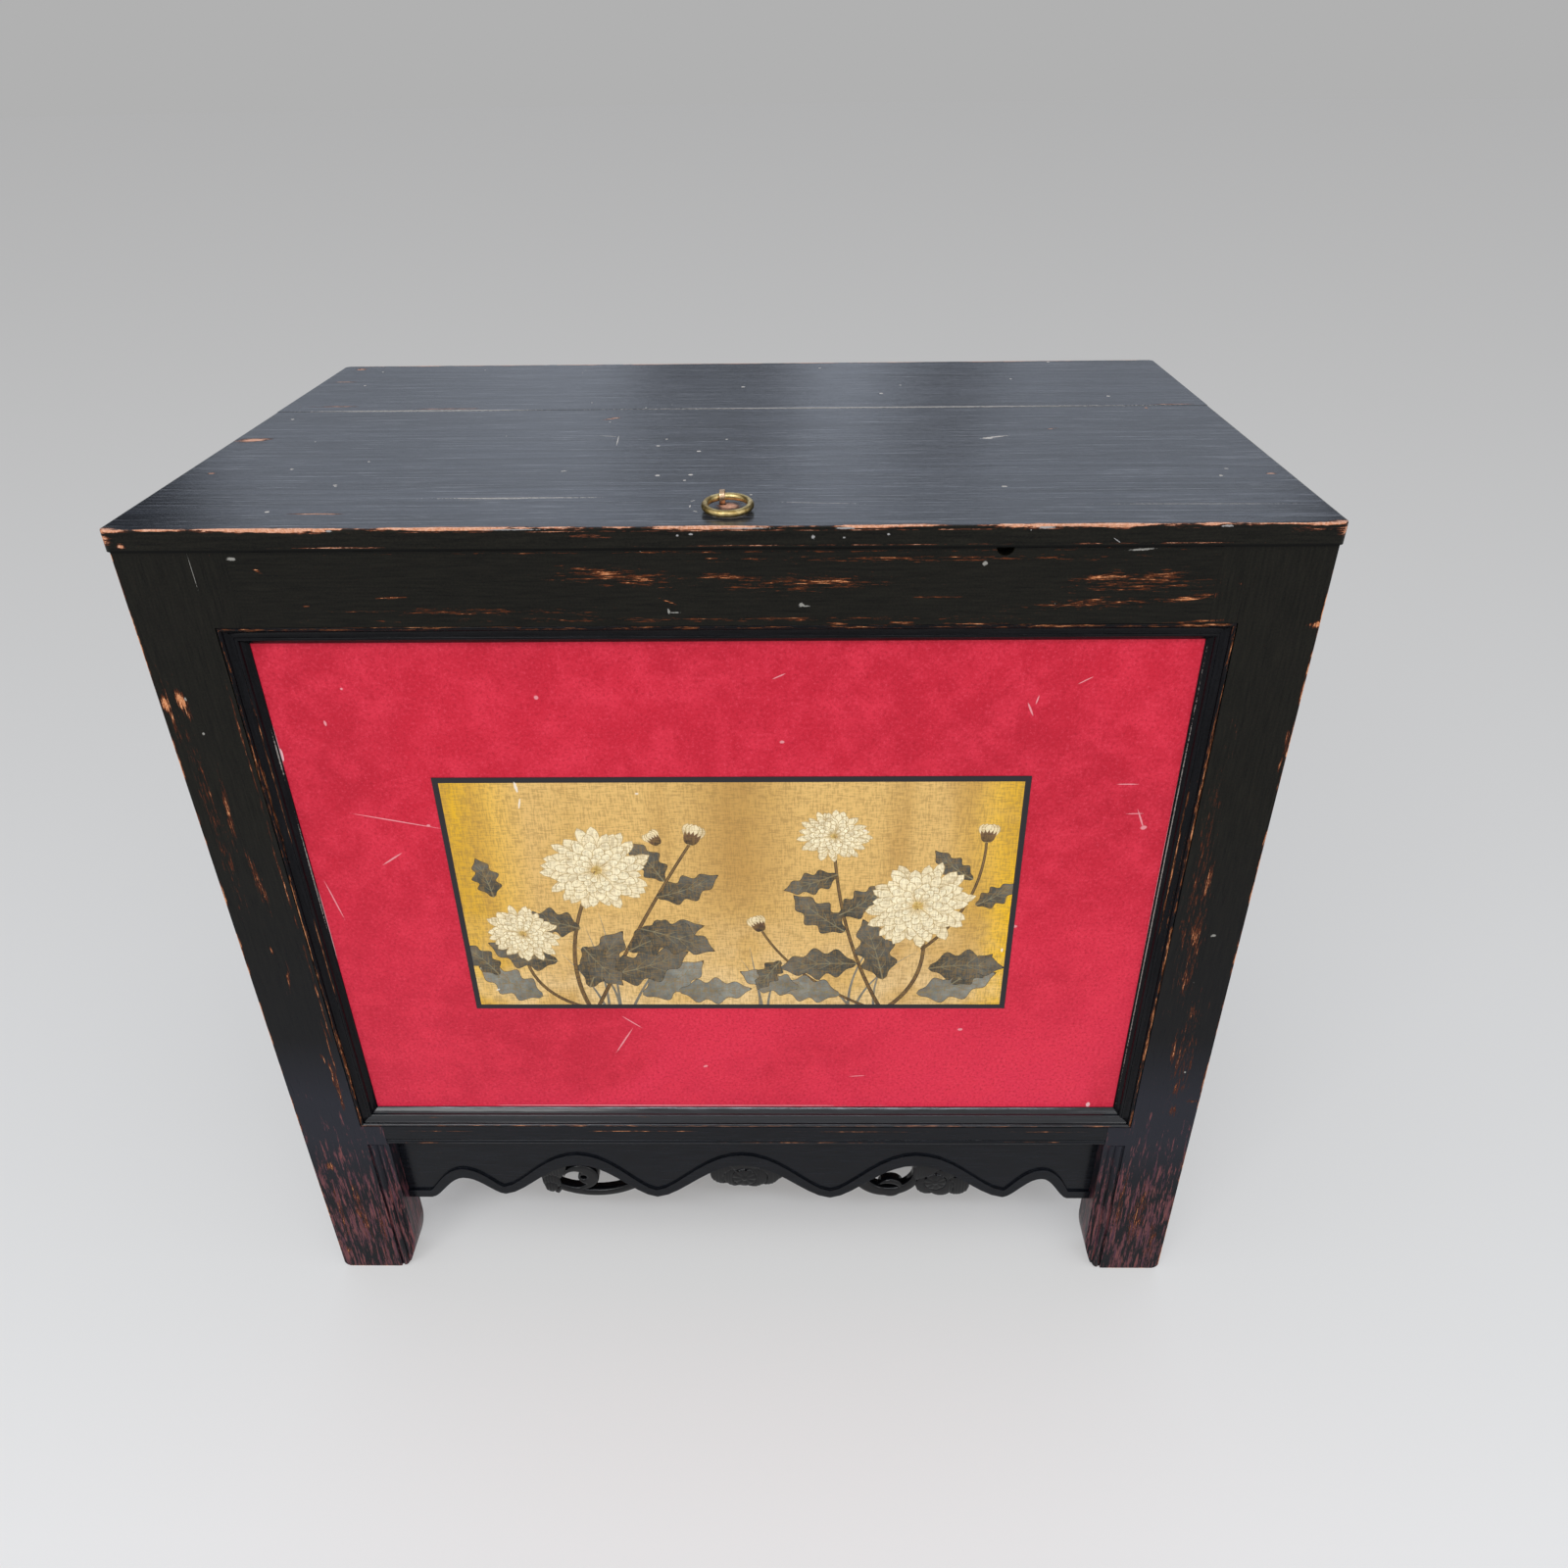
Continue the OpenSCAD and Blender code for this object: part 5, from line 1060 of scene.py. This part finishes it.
# Lid and ring
for board, covered in (("lid_board_front", "+y"), ("lid_board_rear", "-y")):
    piece = dress(board, "lid", lacquer_lid, 1.6, covered=covered + " -x +x -z", corners=5, crisp_foot=True)
    # The sides and the underside take the edge's finish
    piece.data.materials.append(lacquer_rim)
    for face in piece.data.polygons:
        face.material_index = int(face.normal.z < 0.35)
dress("lid_nails", "lid", iron, 0.2)
screw_row("hinge_lid_screws", "lid", 1.0)
dress("ring_staple", "lid", strap, 0.25)
# The ring's radius, the pivot in its staple, its tilt at rest, and how far it has slid to the right
RING, PIVOT, TILT, SLIDE = 18, at(0, 51, 905.96), math.radians(4.32), 5
reach = math.sqrt(RING ** 2 - SLIDE ** 2) * MM
centre = PIVOT + Vector((SLIDE * MM, -reach * math.cos(TILT), -reach * math.sin(TILT)))
piece = grown("ring", [(0, 0, 0)], ring_tree(), {
    "Ring radius": RING * MM, "Bar radius": 0.003, "Unevenness": 0.0004, "Place": centre,
    "Tilt": (TILT, 0, 0), "Finish": brass}, 180)
settle(piece, "ring_pull", "ring")
picture_sheet(print_ground())

# Studio: a pale floor that pales towards the viewer, a soft sky with bands that the lid mirrors, three lamps
floor_finish, tree, shader, place = new_finish("pale floor")
# How far below the middle of the camera's view a point of the floor lies, as a tangent
away = add(tree, "SeparateXYZ", {0: place}).outputs["Y"]
away = add(tree, "Math", {0: away, 1: -EYE[1]}, operation="ADD")
away = add(tree, "Math", {0: away, 1: 200.0}, operation="MAXIMUM")
fall = add(tree, "Math", {0: EYE[2], 1: away}, operation="DIVIDE")
lower = add(tree, "Math", {0: fall, 1: HORIZON}, operation="SUBTRACT")
turned = add(tree, "Math", {0: fall, 1: HORIZON, 2: 1.0}, operation="MULTIPLY_ADD")
slope = add(tree, "Math", {0: lower, 1: turned}, operation="DIVIDE")
tone = layers(tree, linear("#C9C6C1"), (slope, -HORIZON, NEAR_FLOOR, 1.0, "#EEEEEC"))
tree.links.new(tone.outputs[0], shader.inputs["Base Color"])
shader.inputs["Roughness"].default_value = 0.9
shader.inputs["Specular IOR Level"].default_value = 0.0
# Camera, glossy and transmission rays see the backdrop's own pale colour in the floor, mixed with the lit
# floor. That shows most in the shadow under the chest, a patch round (0, 310) that reaches 470 by 270 mm
rays = add(tree, "LightPath").outputs
shown = add(tree, "Math", {0: rays["Is Glossy Ray"], 1: rays["Is Transmission Ray"]}, operation="MAXIMUM")
shown = add(tree, "Math", {0: shown, 1: rays["Is Camera Ray"]}, operation="MAXIMUM")
below = box_distance(tree, place, (0, 310, 0), (470, 270, 1000))
below = add(tree, "MapRange", {0: below, 1: 0.7, 2: 1.1, 3: 0.2, 4: 0.55}, interpolation_type="SMOOTHSTEP")
shown = add(tree, "Math", {0: shown, 1: below}, operation="MULTIPLY")
pale = layers(tree, linear("#B1B1B1"), (slope, -HORIZON, NEAR_FLOOR, 1.0, "#E2E2E2"))
pale = add(tree, "MixShader", {0: shown, 1: shader, 2: add(tree, "Emission", {0: pale, 1: 1.0})})
add(tree, "OutputMaterial", {"Surface": pale}, is_active_output=True)
bm = bmesh.new()
bmesh.ops.create_circle(bm, cap_ends=True, radius=60, segments=96)
floor = as_object("floor", bm, floor_finish)

world = bpy.data.worlds.new("studio")
world.use_nodes = True
scene.world = world
tree = world.node_tree
tree.nodes.clear()
way = add(tree, "TexCoord").outputs["Generated"]
x, y, z = add(tree, "SeparateXYZ", {0: way}).outputs
# The bands stand on the wall behind: their place is x over depth, and shifts a little with height
BAND_SHIFT, BAND_REACH = 0.25, 0.6
behind = add(tree, "Math", {0: y, 1: 0.05}, operation="MAXIMUM")
rise = add(tree, "Math", {0: z, 1: behind}, operation="DIVIDE")
aside = add(tree, "Math", {0: x, 1: behind}, operation="DIVIDE")
band = add(tree, "Math", {0: rise, 1: BAND_SHIFT}, operation="MULTIPLY")
band = add(tree, "Math", {0: aside, 1: band}, operation="ADD")
band = add(tree, "MapRange", {0: band, 1: -BAND_REACH, 2: BAND_REACH})
strip = add(tree, "ValToRGB", {0: band})
# How bright the bands are, from left to right
stops = ((0.0, 0.32), (0.25, 0.34), (0.34, 0.5), (0.405, 0.56), (0.425, 0.16), (0.45, 0.1), (0.472, 0.3),
         (0.49, 0.03), (0.518, 0.12), (0.548, 0.72), (0.572, 0.58), (0.605, 0.3), (0.64, 0.06), (0.66, 0.12),
         (0.675, 0.52), (0.7, 0.34), (1.0, 0.3))
for number, (spot, level) in enumerate(stops):
    element = strip.color_ramp.elements[number] if number < 2 else strip.color_ramp.elements.new(spot)
    element.position = spot
    element.color = (level, level, level, 1)
fade = add(tree, "MapRange", {0: rise, 1: 0.2, 2: 0.38})
front = add(tree, "MapRange", {0: y, 1: 0.0, 2: 0.3})
sky = add(tree, "MixRGB", {0: fade, 1: strip, 2: (0.86, 0.86, 0.86, 1)})
sky = add(tree, "MixRGB", {0: 1.0, 1: sky, 2: linear("#E4EDFD")}, blend_type="MULTIPLY")
# The mirrored wall is 1 wide, its middle a little to the left, and dark beyond
ends = add(tree, "Math", {0: aside, 1: 0.035})
ends = add(tree, "Math", {0: ends}, operation="ABSOLUTE")
ends = add(tree, "MapRange", {0: ends, 1: 0.485, 2: 0.515, 3: 1.0, 4: 0.12})
ends = add(tree, "CombineColor", {0: ends, 1: ends, 2: ends})
mirrored = add(tree, "MixRGB", {0: 1.0, 1: sky, 2: ends}, blend_type="MULTIPLY")
room = (0.8, 0.8, 0.81, 1)
mirrored = add(tree, "MixRGB", {0: front, 1: room, 2: mirrored})
sky = add(tree, "MixRGB", {0: front, 1: room, 2: sky})
rays = add(tree, "LightPath").outputs
around = add(tree, "Background", {0: sky, 1: 1.0})
# The backdrop that camera and transmission rays see; glossy rays see it with the bands that the lid mirrors
shown = add(tree, "MixRGB", {0: rays["Is Glossy Ray"], 1: linear("#B1B1B1"), 2: mirrored})
seen = add(tree, "Background", {0: shown, 1: 1.0})
backdrop = add(tree, "Math", {0: rays["Is Glossy Ray"], 1: rays["Is Transmission Ray"]}, operation="MAXIMUM")
backdrop = add(tree, "Math", {0: backdrop, 1: rays["Is Camera Ray"]}, operation="MAXIMUM")
mix = add(tree, "MixShader", {0: backdrop, 1: around, 2: seen})
add(tree, "OutputWorld", {0: mix})


def softbox(name, place, aim, size, power, colour="#FFFFFF"):
    """An area light at one point, facing another, in metres and watts."""
    lamp = bpy.data.lights.new(name, "AREA")
    lamp.shape = "RECTANGLE"
    lamp.size, lamp.size_y = size
    lamp.energy = power
    lamp.color = linear(colour)[:3]
    holder = bpy.data.objects.new(name, lamp)
    holder.location = place
    holder.rotation_euler = (Vector(aim) - Vector(place)).to_track_quat("-Z", "Y").to_euler()
    scene.collection.objects.link(holder)


softbox("key", (-3.0, -5.0, 4.5), (0, 0, 0.4), (3, 2), 72)
softbox("fill", (4.0, -4.5, 3.0), (0, 0, 0.4), (2.4, 2), 33)
softbox("strip", (-0.2, -2.4, 3.2), (0, 0, 0.4), (3.4, 0.3), 30, "#EDF3FF")

scene.view_settings.view_transform = "Standard"
